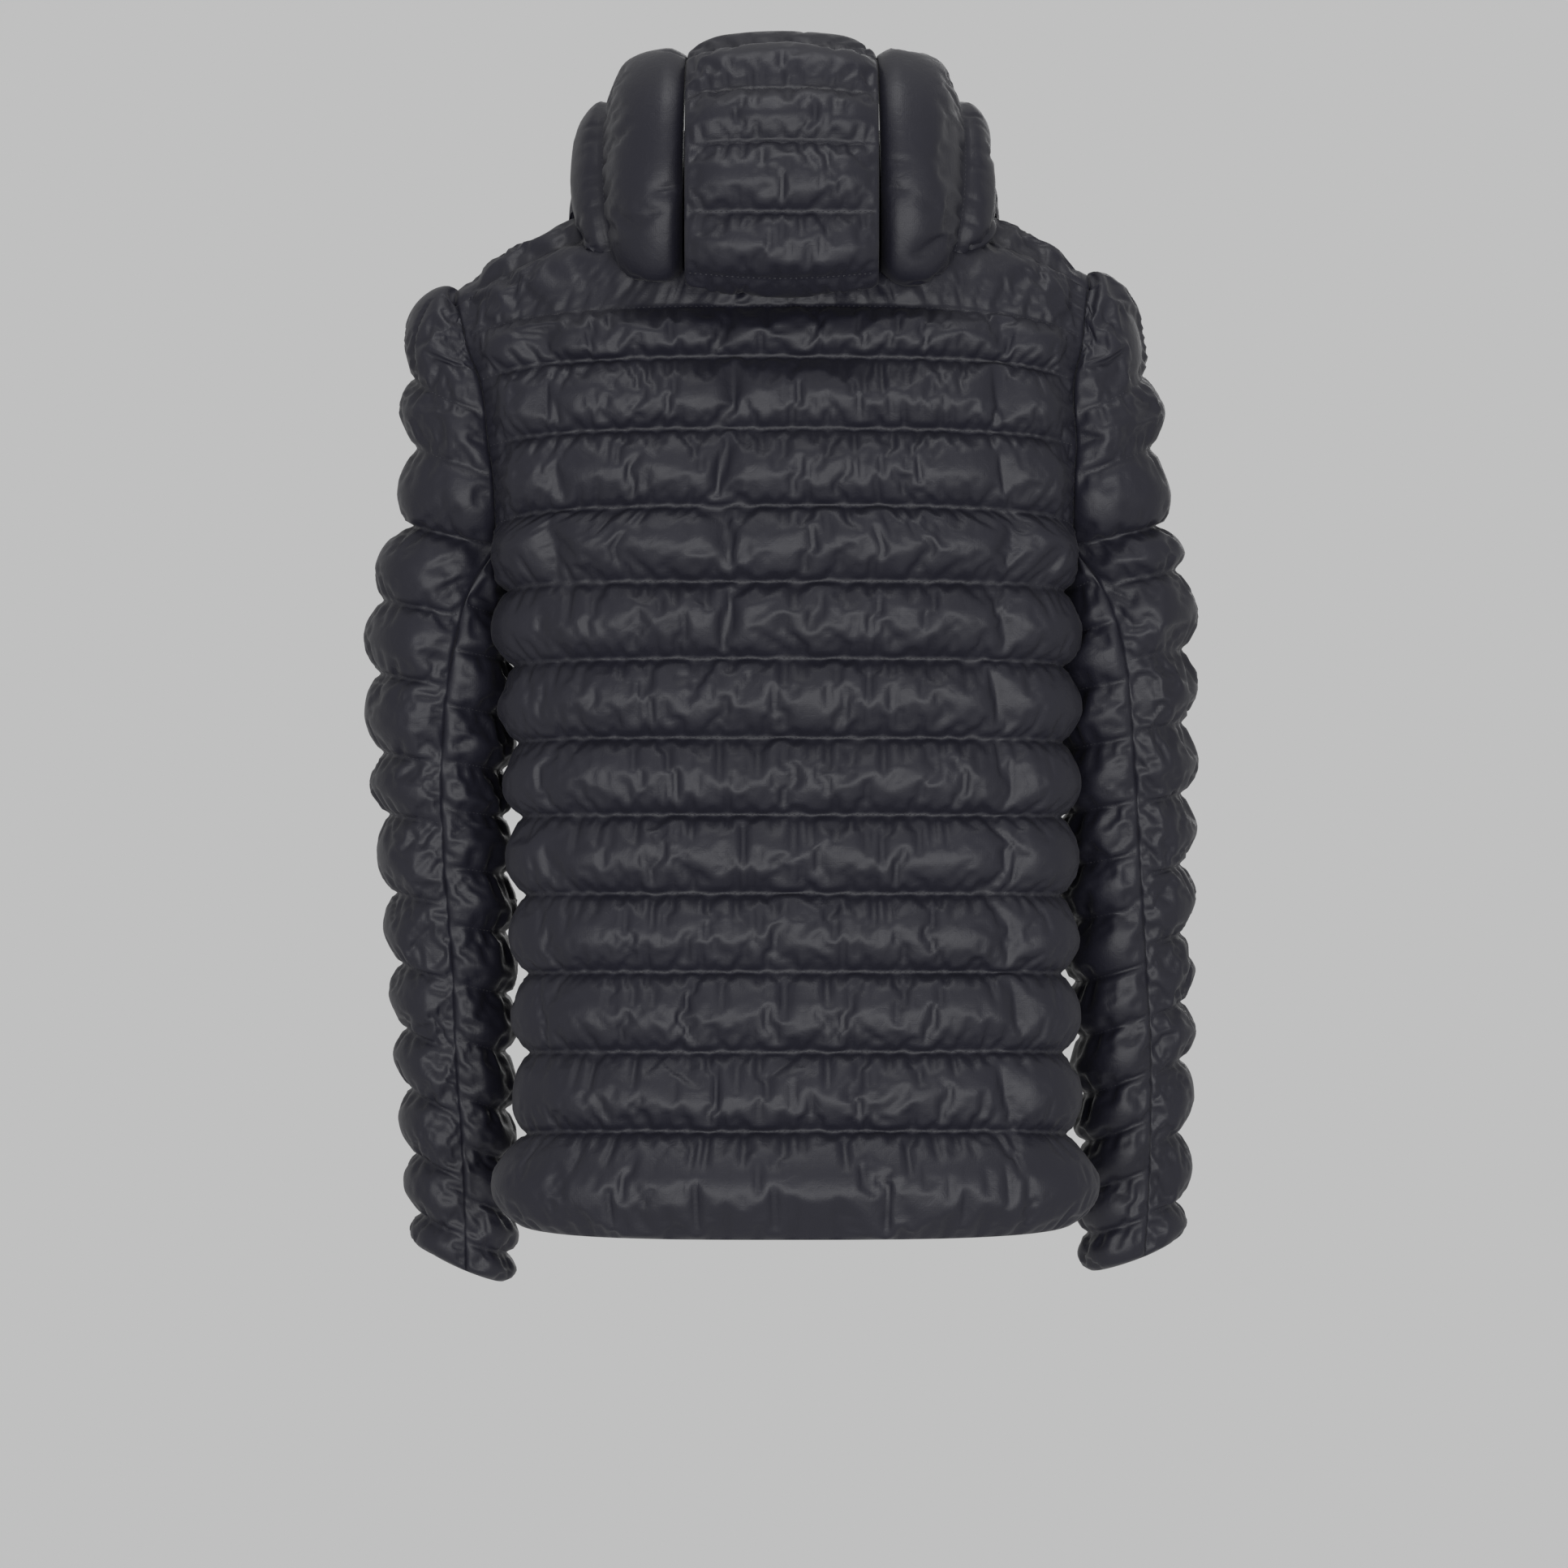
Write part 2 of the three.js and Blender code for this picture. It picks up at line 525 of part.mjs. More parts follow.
function foldShare(x, z) {
  return BACK_FOLDS.reduce((left, { x: place, halfWidth, share, top, bottom }) => {
    const inside = z < top && z > bottom ? 1 : 0;
    return left * (1 - inside * share * Math.exp(-(((x - place) / halfWidth) ** 2)));
  }, 1);
}

// Rises of a row: full in the middle, flat at the two side borders
function risesOf(base, full, loft, shape = () => 1) {
  const end = base.length - 1;
  return base.map((point) => {
    const edge = Math.min(distance(point, base[0]), distance(point, base[end]));
    const soft = Math.sin((Math.min(1, edge / SOFT_EDGE) * Math.PI) / 2) ** SOFT_POWER;
    return loft * full * soft * shape(point);
  });
}

// Rows flatten where the arms lie against the sides
const armPress = (y) => 1 - ARM_PRESS.share * Math.exp(-(((y - ARM_PRESS.y) / ARM_PRESS.width) ** 2));

// Flattens the rows of a body panel towards the armhole and under the arms
function soften(stations, columns) {
  const start = stations.findIndex(({ foot }) => foot === 0);
  const edges = stations.slice(start).flatMap(({ base }) => columns.map((column) => base[column(base)]));
  stations.forEach((station) => {
    station.rise = station.rise.map((rise, index) => {
      const point = station.base[index];
      const near = Math.min(...edges.map((edge) => distance(edge, point)));
      const soft = Math.sin((Math.min(1, near / ARMHOLE_SOFT_EDGE) * Math.PI) / 2) ** ARMHOLE_SOFT_POWER;
      const side = point[2] < UNDERARM_Z + ARMHOLE_SOFT_EDGE ? armPress(point[1]) : 1;
      return rise * soft * side;
    });
  });
  return stations;
}

const bodyLoft = (band) => (band === 0 ? HEM_LOFT : BODY_LOFT);

function neckHeight(x, front) {
  const share = Math.min(1, Math.abs(x) / NECK_HALF);
  const top = ridgeHeight(x);
  if (front) return top - (top - NECK_FRONT_Z) * Math.sqrt(1 - share * share);
  return mix(NECK_BACK_Z, top, share ** NECK_BACK_POWER);
}

// Places across the back on its top border: neck, then shoulder seam
function topPlaces(side) {
  const neckPoint = NECK_HALF - NECK_SEAM_INSET;
  const end = sample(ARMHOLE, 'z', SHOULDER_END_Z, side);
  const neck = steps(BACK_NECK_STEPS).map((share) => neckPoint * share);
  const shoulder = steps(SHOULDER_STEPS).slice(1);
  return [...neck, ...shoulder.map((share) => mix(neckPoint, end, share))];
}

// Turn of the shoulder seam, on the back of the ridge
const seamTurn = (x) => turnAt(x, ridgeHeight(x) - SEAM_BEHIND, false);

function backPanel() {
  const half = BACK_NECK_STEPS + SHOULDER_STEPS;
  const columns = Array.from({ length: 2 * half + 1 }, (_, index) => (index - half) / half);
  const lineHeight = (band, share) => {
    const upper = BACK_LINES[Math.min(band + 1, BACK_LINES.length - 1)];
    return mix(BACK_LINES[band].centre, upper.centre, share);
  };
  const stations = borderStations(SEGMENTS).map((station) => {
    const centre = lineHeight(station.band, station.share);
    const base = columns.map((column) => {
      const side = sideOf(column);
      const z = mix(centre, station.z, Math.abs(column) ** LINE_DROP_POWER);
      return torsoByAngle(z, crowded(column) * stationAngle(station, side, false));
    });
    const full = fullness(station.share);
    const shape = ([x, , z]) => foldShare(x, z);
    return { base, foot: station.foot, rise: risesOf(base, full, bodyLoft(station.band), shape) };
  });
  const upperRow = (z, centre) =>
    columns.map((column) => {
      const side = sideOf(column);
      const height = mix(centre, z, Math.abs(column) ** LINE_DROP_POWER);
      const width = angleOfX(sample(ARMHOLE, 'z', z, side), torsoSize(z, side).half);
      return torsoByAngle(height, crowded(column) * width);
    });
  for (let band = FOOT_BAND + 2; band < BACK_LINES.length - 1; band += 1) {
    for (let step = 1; step <= SEGMENTS; step += 1) {
      const share = step / SEGMENTS;
      const z = mix(BACK_LINES[band].end, BACK_LINES[band + 1].end, share);
      const base = upperRow(z, lineHeight(band, share));
      const shape = ([x, , height]) => foldShare(x, height);
      stations.push({ base, rise: risesOf(base, fullness(share % 1), BODY_LOFT, shape) });
    }
  }
  const yoke = stations[stations.length - 1].base;
  const top = [...topPlaces('left').reverse().map((x) => -x), ...topPlaces('right').slice(1)];
  for (let step = 1; step <= SEGMENTS; step += 1) {
    const share = step / SEGMENTS;
    const base = yoke.map((point, index) => {
      const x = mix(point[0], top[index], share);
      const onNeck = Math.abs(index - half) < BACK_NECK_STEPS;
      const neckTurn = turnAt(top[index], neckHeight(top[index], false), false);
      const topTurn = onNeck ? neckTurn : seamTurn(top[index]);
      return torsoOver(x, mix(turnAt(point[0], point[2], false), topTurn, share));
    });
    stations.push({ base, rise: risesOf(base, fullness(share % 1), YOKE_LOFT) });
  }
  return soften(stations, [() => 0, (base) => base.length - 1]);
}

function frontPanel(side) {
  const sign = side === 'left' ? -1 : 1;
  const count = FRONT_NECK_STEPS + 1 + SHOULDER_STEPS;
  const columns = steps(count);
  const across = (z, border) => {
    const edge = Math.PI - angleOfX(ZIP_HALF_WIDTH, torsoSize(z, side).half);
    return columns.map((column) => sign * mix(edge, border, column ** FRONT_CROWDING));
  };
  const stations = borderStations(HIDDEN_SEGMENTS).map((station) => {
    const border = stationAngle(station, side, true);
    const base = across(station.z, border).map((angle, index) => {
      const rise = FRONT_HEM_RISE * (1 - columns[index]) ** 2;
      return torsoByAngle(station.z + rise, angle);
    });
    const full = fullness(station.share);
    return { base, foot: station.foot, rise: risesOf(base, full, bodyLoft(station.band)) };
  });
  const foot = stations[stations.length - 1].base;
  const back = topPlaces(side);
  const top = columns.map((column, index) => {
    if (index > FRONT_NECK_STEPS) {
      const x = sign * back[index - FRONT_NECK_STEPS - 1 + BACK_NECK_STEPS];
      return { x, turn: seamTurn(x) };
    }
    const swing = (index / FRONT_NECK_STEPS) * (Math.PI / 2);
    const x = sign * mix(ZIP_HALF_WIDTH, NECK_HALF, Math.sin(swing));
    return { x, turn: turnAt(x, neckHeight(x, true), true) };
  });
  for (let step = 1; step <= FRONT_TOP_ROWS * SEGMENTS; step += 1) {
    const way = step / (FRONT_TOP_ROWS * SEGMENTS);
    const base = foot.map((point, index) => {
      const last = index === count;
      const startTurn = turnAt(point[0], point[2], true);
      const turn = mix(startTurn, top[index].turn, way);
      if (!last) return torsoOver(mix(point[0], top[index].x, way), turn);
      const level = torsoOver(point[0], turn)[2];
      const scoop = FRONT_ARMHOLE_SCOOP * (1 - way) ** SCOOP_POWER;
      return torsoOver(sign * (sample(ARMHOLE, 'z', level, side) - scoop), turn);
    });
    const share = (step / SEGMENTS) % 1;
    stations.push({ base, rise: risesOf(base, fullness(share), BODY_LOFT * mix(1, FRONT_TOP_SHARE, way)) });
  }
  stations[stations.length - 1].base[count] = torsoOver(top[count].x, top[count].turn);
  return soften(stations, [(base) => base.length - 1]);
}

// Sleeve surface
function ringOf(z, side) {
  const rows = SLEEVES[side];
  const read = (column) => sample(rows, 'z', z, column);
  return {
    x: read('x'),
    halfWidth: read('halfWidth'),
    y: read('y'),
    halfDepth: read('halfDepth'),
    tilt: read('tilt'),
    backSeam: radians(read('backSeam')),
  };
}

function ringPoint(z, angle, side) {
  const sign = side === 'left' ? -1 : 1;
  const ring = ringOf(z, side);
  return [
    sign * (ring.x + ring.halfWidth * Math.cos(angle)),
    ring.y - ring.halfDepth * Math.sin(angle),
    z + ring.tilt * Math.cos(angle),
  ];
}

// Outward directions of a grid of points, from its neighbours
function gridOut(rows, away) {
  const at = (row, column) => rows[clamp(row, 0, rows.length - 1)][clamp(column, 0, rows[0].length - 1)];
  const directions = rows.map((row, i) =>
    row.map((_, j) => {
      const across = add(at(i, j + 1), at(i, j - 1), -1);
      const along = add(at(i + 1, j), at(i - 1, j), -1);
      return unit([
        across[1] * along[2] - across[2] * along[1],
        across[2] * along[0] - across[0] * along[2],
        across[0] * along[1] - across[1] * along[0],
      ]);
    }),
  );
  const middle = [Math.floor(rows.length / 2), Math.floor(rows[0].length / 2)];
  const from = add(at(...middle), away, -1);
  const probe = directions[middle[0]][middle[1]];
  const outwards = probe.reduce((sum, part, axis) => sum + part * from[axis], 0) > 0;
  return outwards ? directions : directions.map((row) => row.map((d) => d.map((part) => -part)));
}

// The armhole's two runs, from the shoulder seam down to the underarm
function armholeRuns(side, back, front) {
  const backColumn = side === 'left' ? 0 : back[0].base.length - 1;
  const frontColumn = front[0].base.length - 1;
  const count = ARMHOLE_FOOT_STEPS + 3 * SEGMENTS;
  const run = (stations, column) =>
    Array.from({ length: count + 1 }, (_, index) => {
      const station = stations[stations.length - 1 - index];
      return { station, column, point: station.base[column] };
    });
  return { back: run(back, backColumn), front: run(front, frontColumn) };
}

function sleeveFold(angle, step) {
  if (step < CAP_FOLD.top || step > CAP_FOLD.bottom) return 1;
  const offset = (angle - CAP_FOLD.angle) / CAP_FOLD.halfAngle;
  return 1 - CAP_FOLD.share * Math.exp(-offset * offset);
}

// Heights of a sleeve panel's stations from line to line, one of them where the rings begin
function sleeveLevels(lines, segments) {
  const levels = [];
  for (let band = 1; band < lines.length; band += 1) {
    for (let part = 1; part <= segments; part += 1) {
      const share = part / segments;
      levels.push({ z: mix(lines[band - 1], lines[band], share), full: fullness(1 - share) });
    }
  }
  const miss = ({ z }) => Math.abs(z - RINGS_FROM_Z);
  levels.reduce((best, level) => (miss(level) < miss(best) ? level : best)).z = RINGS_FROM_Z;
  return levels;
}

// A row between the armhole's foot and the first ring, bowed away from the body
function leaveBody(foot, ring, z, sign) {
  const share = (CAP_FOOT_Z - z) / (CAP_FOOT_Z - RINGS_FROM_Z);
  const bow = FOOT_BOW * Math.sin(Math.PI * share);
  return foot.map((point, index) => add(between(point, ring[index], share), [sign * bow, 0, 0]));
}

// Upper panel of a sleeve: cap rows on the armhole, then rings down to the cuff
function sleeveTop(side, runs) {
  const sign = side === 'left' ? -1 : 1;
  const shares = steps(SLEEVE_COLUMNS);
  const capRow = (step) => {
    const from = runs.back[step].point;
    const to = runs.front[step].point;
    const out = sample(CAP_REACH, 'step', step, 'out');
    const lift = sample(CAP_REACH, 'step', step, 'lift');
    const swell = sample(CAP_REACH, 'step', step, 'swell');
    return shares.map((share) => {
      const swing = Math.PI * share;
      const bow = Math.sin(swing);
      const line = between(from, to, (1 - Math.cos(swing)) / 2);
      return add(line, [sign * out * bow ** CAP_ROUND, -swell * Math.sin(2 * swing), lift * bow]);
    });
  };
  const ringRow = (z) => {
    const { backSeam } = ringOf(z, side);
    return shares.map((share) => ringPoint(z, mix(backSeam, radians(FRONT_SEAM_ANGLE), share), side));
  };
  const foot = capRow(UNDER_STEP);
  const firstRing = ringRow(RINGS_FROM_Z);
  const rowAt = (z) => {
    if (z <= RINGS_FROM_Z) return ringRow(z);
    return leaveBody(foot, firstRing, z, sign);
  };
  const stations = [];
  for (let line = 1; line < CAP_LINES.length; line += 1) {
    const [upper, lower] = [CAP_LINES[line - 1], CAP_LINES[line]];
    for (let step = upper + 1; step <= lower; step += 1) {
      stations.push({ base: capRow(step), full: fullness((lower - step) / (lower - upper)), step });
    }
  }
  sleeveLevels([CAP_FOOT_Z, ...TOP_LINES[side]], SEGMENTS).forEach(({ z, full }) => {
    stations.push({ base: rowAt(z), full });
  });
  const [x, y, z] = SLEEVE_MIDDLE.top;
  const outs = gridOut(stations.map(({ base }) => base), [sign * x, y, z]);
  stations.forEach((station, index) => {
    station.out = outs[index];
    station.rise = risesOf(station.base, station.full, SLEEVE_LOFT);
    if (!station.step) return;
    station.rise = station.rise.map((rise, column) =>
      rise * sleeveFold(90 - 180 * shares[column], station.step));
  });
  softenFoot(stations.filter(({ step }) => !step), [foot[0], foot[SLEEVE_COLUMNS]], ARMHOLE_SOFT_EDGE);
  return stations;
}

// Flattens a sleeve's rows where they start beside the body
function softenFoot(stations, foot, reach) {
  stations.forEach((station) => {
    station.rise = station.rise.map((rise, index) => {
      const near = Math.min(...foot.map((edge) => distance(edge, station.base[index])));
      return rise * Math.sin((Math.min(1, near / reach) * Math.PI) / 2) ** UNDER_SOFT_POWER;
    });
  });
}

// Under panel of a sleeve, from the armhole's foot down to the cuff
function sleeveUnder(side, runs) {
  const sign = side === 'left' ? -1 : 1;
  const last = runs.back.length - 1;
  const foot = [
    runs.back[last - 2].point,
    runs.back[last - 1].point,
    runs.back[last].point,
    runs.front[last - 1].point,
    runs.front[last - 2].point,
  ];
  const shares = steps(foot.length - 1);
  const ringRow = (z) => {
    const { backSeam } = ringOf(z, side);
    const frontSeam = 2 * Math.PI + radians(FRONT_SEAM_ANGLE);
    return shares.map((share) => ringPoint(z, mix(backSeam, frontSeam, share), side));
  };
  const firstRing = ringRow(RINGS_FROM_Z);
  const rowAt = (z) => {
    if (z <= RINGS_FROM_Z) return ringRow(z);
    return leaveBody(foot, firstRing, z, sign);
  };
  const stations = [{ base: foot, full: 0 }];
  sleeveLevels([CAP_FOOT_Z, ...UNDER_LINES[side]], HIDDEN_SEGMENTS).forEach(({ z, full }) => {
    stations.push({ base: rowAt(z), full });
  });
  const [x, y, z] = SLEEVE_MIDDLE.under;
  const outs = gridOut(stations.map(({ base }) => base), [sign * x, y, z]);
  stations.forEach((station, index) => {
    station.out = outs[index];
    station.rise = risesOf(station.base, station.full, UNDER_LOFT);
  });
  softenFoot(stations, foot, UNDER_SOFT_EDGE);
  return stations;
}

// Both panels leave a shared seam point in one direction, so that their walls meet edge to edge
function shareSeam(stationsA, columnA, stationsB, columnB) {
  const ends = stationsB.map((station) => ({
    point: station.base[columnB(station)],
    out: station.out[columnB(station)],
  }));
  stationsA.forEach((station) => {
    const column = columnA(station);
    const point = station.base[column];
    const near = ends.reduce((best, end) =>
      (distance(end.point, point) < distance(best.point, point) ? end : best));
    station.shared = unit(add(station.out[column], near.out));
  });
  stationsB.forEach((station) => {
    const column = columnB(station);
    const point = station.base[column];
    const away = (other) => distance(other.base[columnA(other)], point);
    const near = stationsA.reduce((best, other) => (away(other) < away(best) ? other : best));
    station.out[column] = near.shared;
  });
  stationsA.forEach((station) => {
    station.out[columnA(station)] = station.shared;
  });
}

const firstColumn = () => 0;
const lastColumn = (station) => station.base.length - 1;

// The neck seam as one curve, from the centre front round one side to the centre back
function neckRing(side, back, front) {
  const half = BACK_NECK_STEPS + SHOULDER_STEPS;
  const frontTop = front[front.length - 1].base.slice(0, FRONT_NECK_STEPS + 1);
  const backTop = back[back.length - 1].base;
  const turn = side === 'left' ? -1 : 1;
  const fromSide = Array.from({ length: BACK_NECK_STEPS + 1 }, (_, index) => BACK_NECK_STEPS - index);
  const backPart = fromSide.map((place) => backTop[half + turn * place]);
  const points = [...frontTop, ...backPart].map((point) => new THREE.Vector3(...point));
  return new THREE.CatmullRomCurve3(points, false, 'centripetal');
}

// A point beside the neck seam, moved out from the neck's middle and up
function besideNeck(curve, share, out, up) {
  const point = curve.getPointAt(clamp(share, 0, 1));
  const reach = Math.hypot(point.x, point.y);
  return [point.x * (1 + out / reach), point.y * (1 + out / reach), point.z + up];
}

// Height of the shoulders under a point, or far below where there are none
function shoulderHeight(x, y) {
  const { half, back, front } = torsoSize(0, sideOf(x));
  const depth = (y < TORSO_MIDDLE_Y ? back : front) * sectionShare(x, half);
  if (depth < 1) return BELOW_ALL;
  const share = Math.abs(y - TORSO_MIDDLE_Y) / depth;
  if (share >= 1) return BELOW_ALL;
  const climb = (1 - share ** OVER_DEPTH) ** (1 / OVER_RISE);
  return CHEST_Z + (ridgeHeight(x) - CHEST_Z) * climb;
}

// Moves a point of the hood out until it clears the shoulders
function restOnShoulders(point, seam, thickness) {
  const gap = Math.min(YOKE_LOFT + REST_GAP, REST_START + distance(point, seam) * REST_RISE) + thickness;
  const low = [point[0], point[1], shoulderHeight(point[0], point[1])];
  const out = torsoOut(low);
  const clear = (point[2] - low[2]) * Math.max(out[2], REST_SLOPE);
  return clear < gap ? add(point, out, gap - clear) : point;
}

const hoodCurve = new THREE.CatmullRomCurve3(
  HOOD_PROFILE.map(({ y, z }) => new THREE.Vector3(0, y, z)), false, 'centripetal');

function hoodProfile(share) {
  const point = hoodCurve.getPointAt(share);
  const tangent = hoodCurve.getTangentAt(share);
  return { y: point.y, z: point.z, out: unit([0, -tangent.z, tangent.y]) };
}

function hoodCentre() {
  const columns = steps(HOOD_COLUMNS);
  const stations = [];
  HOOD_LINES.slice(1).forEach((line, band) => {
    const below = HOOD_LINES[band];
    const parts = steps(HOOD_SEGMENTS).slice(band === 0 ? 0 : 1);
    parts.forEach((part) => {
      const { y, z, out } = hoodProfile(mix(below, line, part));
      const base = columns.map((share) => {
        const x = mix(-HOOD_SEAM.left, HOOD_SEAM.right, share);
        return add([x, y, z], out, HOOD_DOME * Math.sin(Math.PI * share));
      });
      const outs = columns.map((share) => unit(add(out, [(share - 0.5) * HOOD_LEAN.centre, 0, 0])));
      const loft = band === 0 ? HOOD_LOFT * TUCKED_SHARE : HOOD_LOFT;
      stations.push({ base, out: outs, rise: risesOf(base, fullness(part), loft) });
    });
  });
  return stations;
}

function hoodSide(side, ring) {
  const sign = side === 'left' ? -1 : 1;
  const half = HOOD_SEAM[side];
  const seamShare = hoodSeamShare(ring, half);
  const foot = (radius) => besideNeck(ring, mix(CHIN_SHARE, seamShare, radius), HOOD_FOOT.out, HOOD_FOOT.up);
  const end = hoodProfile(1);
  const chin = foot(0);
  const face = new THREE.CatmullRomCurve3(
    [
      new THREE.Vector3(...chin),
      ...FACE_EDGE.map(({ x, y, z }) => new THREE.Vector3(sign * x, y, z)),
      new THREE.Vector3(sign * half, end.y, end.z),
    ],
    false,
    'centripetal',
  );
  const seamFoot = hoodProfile(0);
  const pointAt = (swing, radius) => {
    const bottom = foot(radius);
    const front = face.getPointAt(radius);
    const seam = hoodProfile(swing);
    const ends = [sign * half, mix(seamFoot.y, end.y, swing), mix(seamFoot.z, end.z, swing)];
    const patch = between(bottom, [front.x, front.y, front.z], swing);
    const across = Math.sin(Math.PI * radius) ** HOOD_ROUND;
    const bow = Math.sin(Math.PI * swing ** HOOD_ROUND) ** HOOD_ROUND * across;
    const low = Math.sin(Math.PI * Math.min(1, swing / HOOD_LOW_SHARE)) * across;
    return [
      patch[0] + sign * HOOD_BULGE.out * bow,
      patch[1] + radius * (seam.y - ends[1]) - HOOD_BULGE.back * low,
      patch[2] + radius * (seam.z - ends[2]) - HOOD_BULGE.down * low,
    ];
  };
  const stations = [];
  HOOD_SIDE_LINES.slice(1).forEach((line, band) => {
    const above = HOOD_SIDE_LINES[band];
    steps(HOOD_SEGMENTS).slice(band === 0 ? 0 : 1).forEach((part) => {
      const radius = mix(above, line, part);
      stations.push({ radius, full: fullness(part) });
    });
  });
  const last = HOOD_SIDE_LINES[HOOD_SIDE_LINES.length - 1];
  stations.push({ radius: mix(last, HOOD_TIP, 0.5), full: HOOD_TIP_FULL }, { radius: HOOD_TIP, full: 0 });
  const swings = steps(HOOD_SIDE_STEPS);
  stations.forEach((station) => {
    station.base = swings.map((swing) => pointAt(swing, station.radius));
  });
  const outs = gridOut(stations.map(({ base }) => base), [0, -20, 40]);
  stations.forEach((station, index) => {
    station.out = outs[index];
    station.rise = risesOf(station.base, station.full, HOOD_LOFT);
  });
  stations[0].out = swings.map((swing) => unit(add(hoodProfile(swing).out, [sign * HOOD_LEAN.seam, 0, 0])));
  return stations;
}

// Where the centre strip's seam meets the neck ring
function hoodSeamShare(ring, half) {
  const tries = steps(SEAM_TRIES).filter((share) => share > 0.5);
  return tries.reduce((best, share) => {
    const miss = (value) => Math.abs(Math.abs(ring.getPointAt(value).x) - half);
    return miss(share) < miss(best) ? share : best;
  }, 0.75);
}

function hoodGeometry(stations, seamOf) {
  const outer = stations.map(({ base, out, rise }) =>
    base.map((p, i) => restOnShoulders(add(p, out[i], rise[i]), seamOf(p), 0)));
  const inner = everyOther(stations, HOOD_SEGMENTS).map((index) => {
    const { base, out } = stations[index];
    return base.map((p, i) => restOnShoulders(add(p, out[i], -WALL), seamOf(p), WALL));
  });
  return new Wall().close(pullBorders(outer, HOOD_PULL), pullBorders(inner, HOOD_PULL * 2)).geometry();
}

// Stand inside the foot of the hood, open at the zip
function collarGeometry(rings) {
  const parts = steps(COLLAR_COLUMNS);
  const shares = [
    ...parts.map((part) => ({ ring: rings.left, share: mix(COLLAR_START, 1, part) })),
    ...parts.slice(0, -1).reverse().map((part) => ({ ring: rings.right, share: mix(COLLAR_START, 1, part) })),
  ];
  const row = (climb, inset) =>
    shares.map(({ ring, share }) => {
      const height = mix(COLLAR_HEIGHT, COLLAR_BACK_HEIGHT, share);
      return besideNeck(ring, share, -inset - COLLAR_LEAN * climb, COLLAR_LIFT + height * climb);
    });
  const rows = (inset, puffed) =>
    steps(COLLAR_ROWS * HIDDEN_SEGMENTS).map((climb) => {
      const full = puffed ? COLLAR_LOFT * fullness((climb * COLLAR_ROWS) % 1) : 0;
      return row(climb, inset - full);
    });
  return new Wall().close(rows(COLLAR_INSET, true), rows(COLLAR_INSET + COLLAR_WALL, false)).geometry();
}

// Middle line of the zip: the front's centre, then the collar's front edge
function zipPath(rings) {
  const low = BACK_LINES[0].end + FRONT_HEM_RISE + ZIP_FOOT_RISE;
  const body = steps(ZIP_STEPS).map((share) => {
    const z = mix(low, NECK_FRONT_Z, share);
    return [torsoByAngle(z, Math.PI)[1] - ZIP_SINK, z];
  });
  const collar = steps(ZIP_COLLAR_STEPS + 1).slice(1).map((climb) => {
    const inwards = COLLAR_INSET + ZIP_SINK + COLLAR_LEAN * climb;
    const edge = besideNeck(rings.left, 0, -inwards, COLLAR_HEIGHT * climb);
    return [edge[1], edge[2]];
  });
  return [...body, ...collar];
}

function tapeGeometry(side, path) {
  const sign = side === 'left' ? -1 : 1;
  const [near, far] = [sign * (TAPE_GAP / 2), sign * (ZIP_HALF_WIDTH - TAPE_EDGE_GAP)];
  const face = (depth) => path.map(([y, z]) => [[near, y + depth, z], [far, y + depth, z]]);
  return new Wall().close(face(TAPE_THICKNESS / 2), face(-TAPE_THICKNESS / 2)).geometry();
}

const wasm = await Module();
wasm.setup();

function solidOf(geometry) {
  const bare = geometry.index ? geometry.clone() : geometry;
  bare.deleteAttribute('normal');
  bare.deleteAttribute('uv');
  const merged = mergeVertices(bare, 1e-4);
  return new wasm.Manifold(new wasm.Mesh({
    numProp: 3,
    vertProperties: new Float32Array(merged.attributes.position.array),
    triVerts: new Uint32Array(merged.index.array),
  }));
}

function geometryOf(solid) {
  const { vertProperties, triVerts } = solid.getMesh();
  const shape = new THREE.BufferGeometry();
  shape.setAttribute('position', new THREE.BufferAttribute(new Float32Array(vertProperties), 3));
  shape.setIndex(new THREE.BufferAttribute(new Uint32Array(triVerts), 1));
  shape.computeVertexNormals();
  return shape;
}

const block = (width, depth, height, x, y, z) =>
  solidOf(new THREE.BoxGeometry(width, depth, height).translate(x, y, z));

// The slider's front plate with the bail that holds the pull; y 0 is the plate's back, z 0 the hinge
function sliderGeometry() {
  const { width, height, plate, bailWidth, bailOut, bailIn, above, below, crown, footHalf } = SLIDER;
  const outline = new THREE.Shape();
  outline.moveTo(-width / 2, height * above);
  outline.lineTo(-width * footHalf, -height * below);
  outline.lineTo(width * footHalf, -height * below);
  outline.lineTo(width / 2, height * above);
  outline.quadraticCurveTo(0, height * crown, -width / 2, height * above);
  const front = new THREE.ExtrudeGeometry(outline, { depth: plate, bevelEnabled: false, curveSegments: 6 });
  const hinge = plate + HINGE_STANDOFF;
  const round = (radius, length) =>
    solidOf(new THREE.CylinderGeometry(radius, radius, length, 20).rotateZ(Math.PI / 2).translate(0, hinge, 0));
  const bail = round(bailOut, bailWidth);
  const eye = round(bailIn, bailWidth * 2);
  const behind = block(width * 2, bailOut * 2, bailOut * 4, 0, plate / 2 - bailOut, 0);
  const plateSolid = solidOf(front.rotateX(Math.PI / 2).translate(0, plate, 0));
  return geometryOf(plateSolid.add(bail.subtract(behind)).subtract(eye));
}

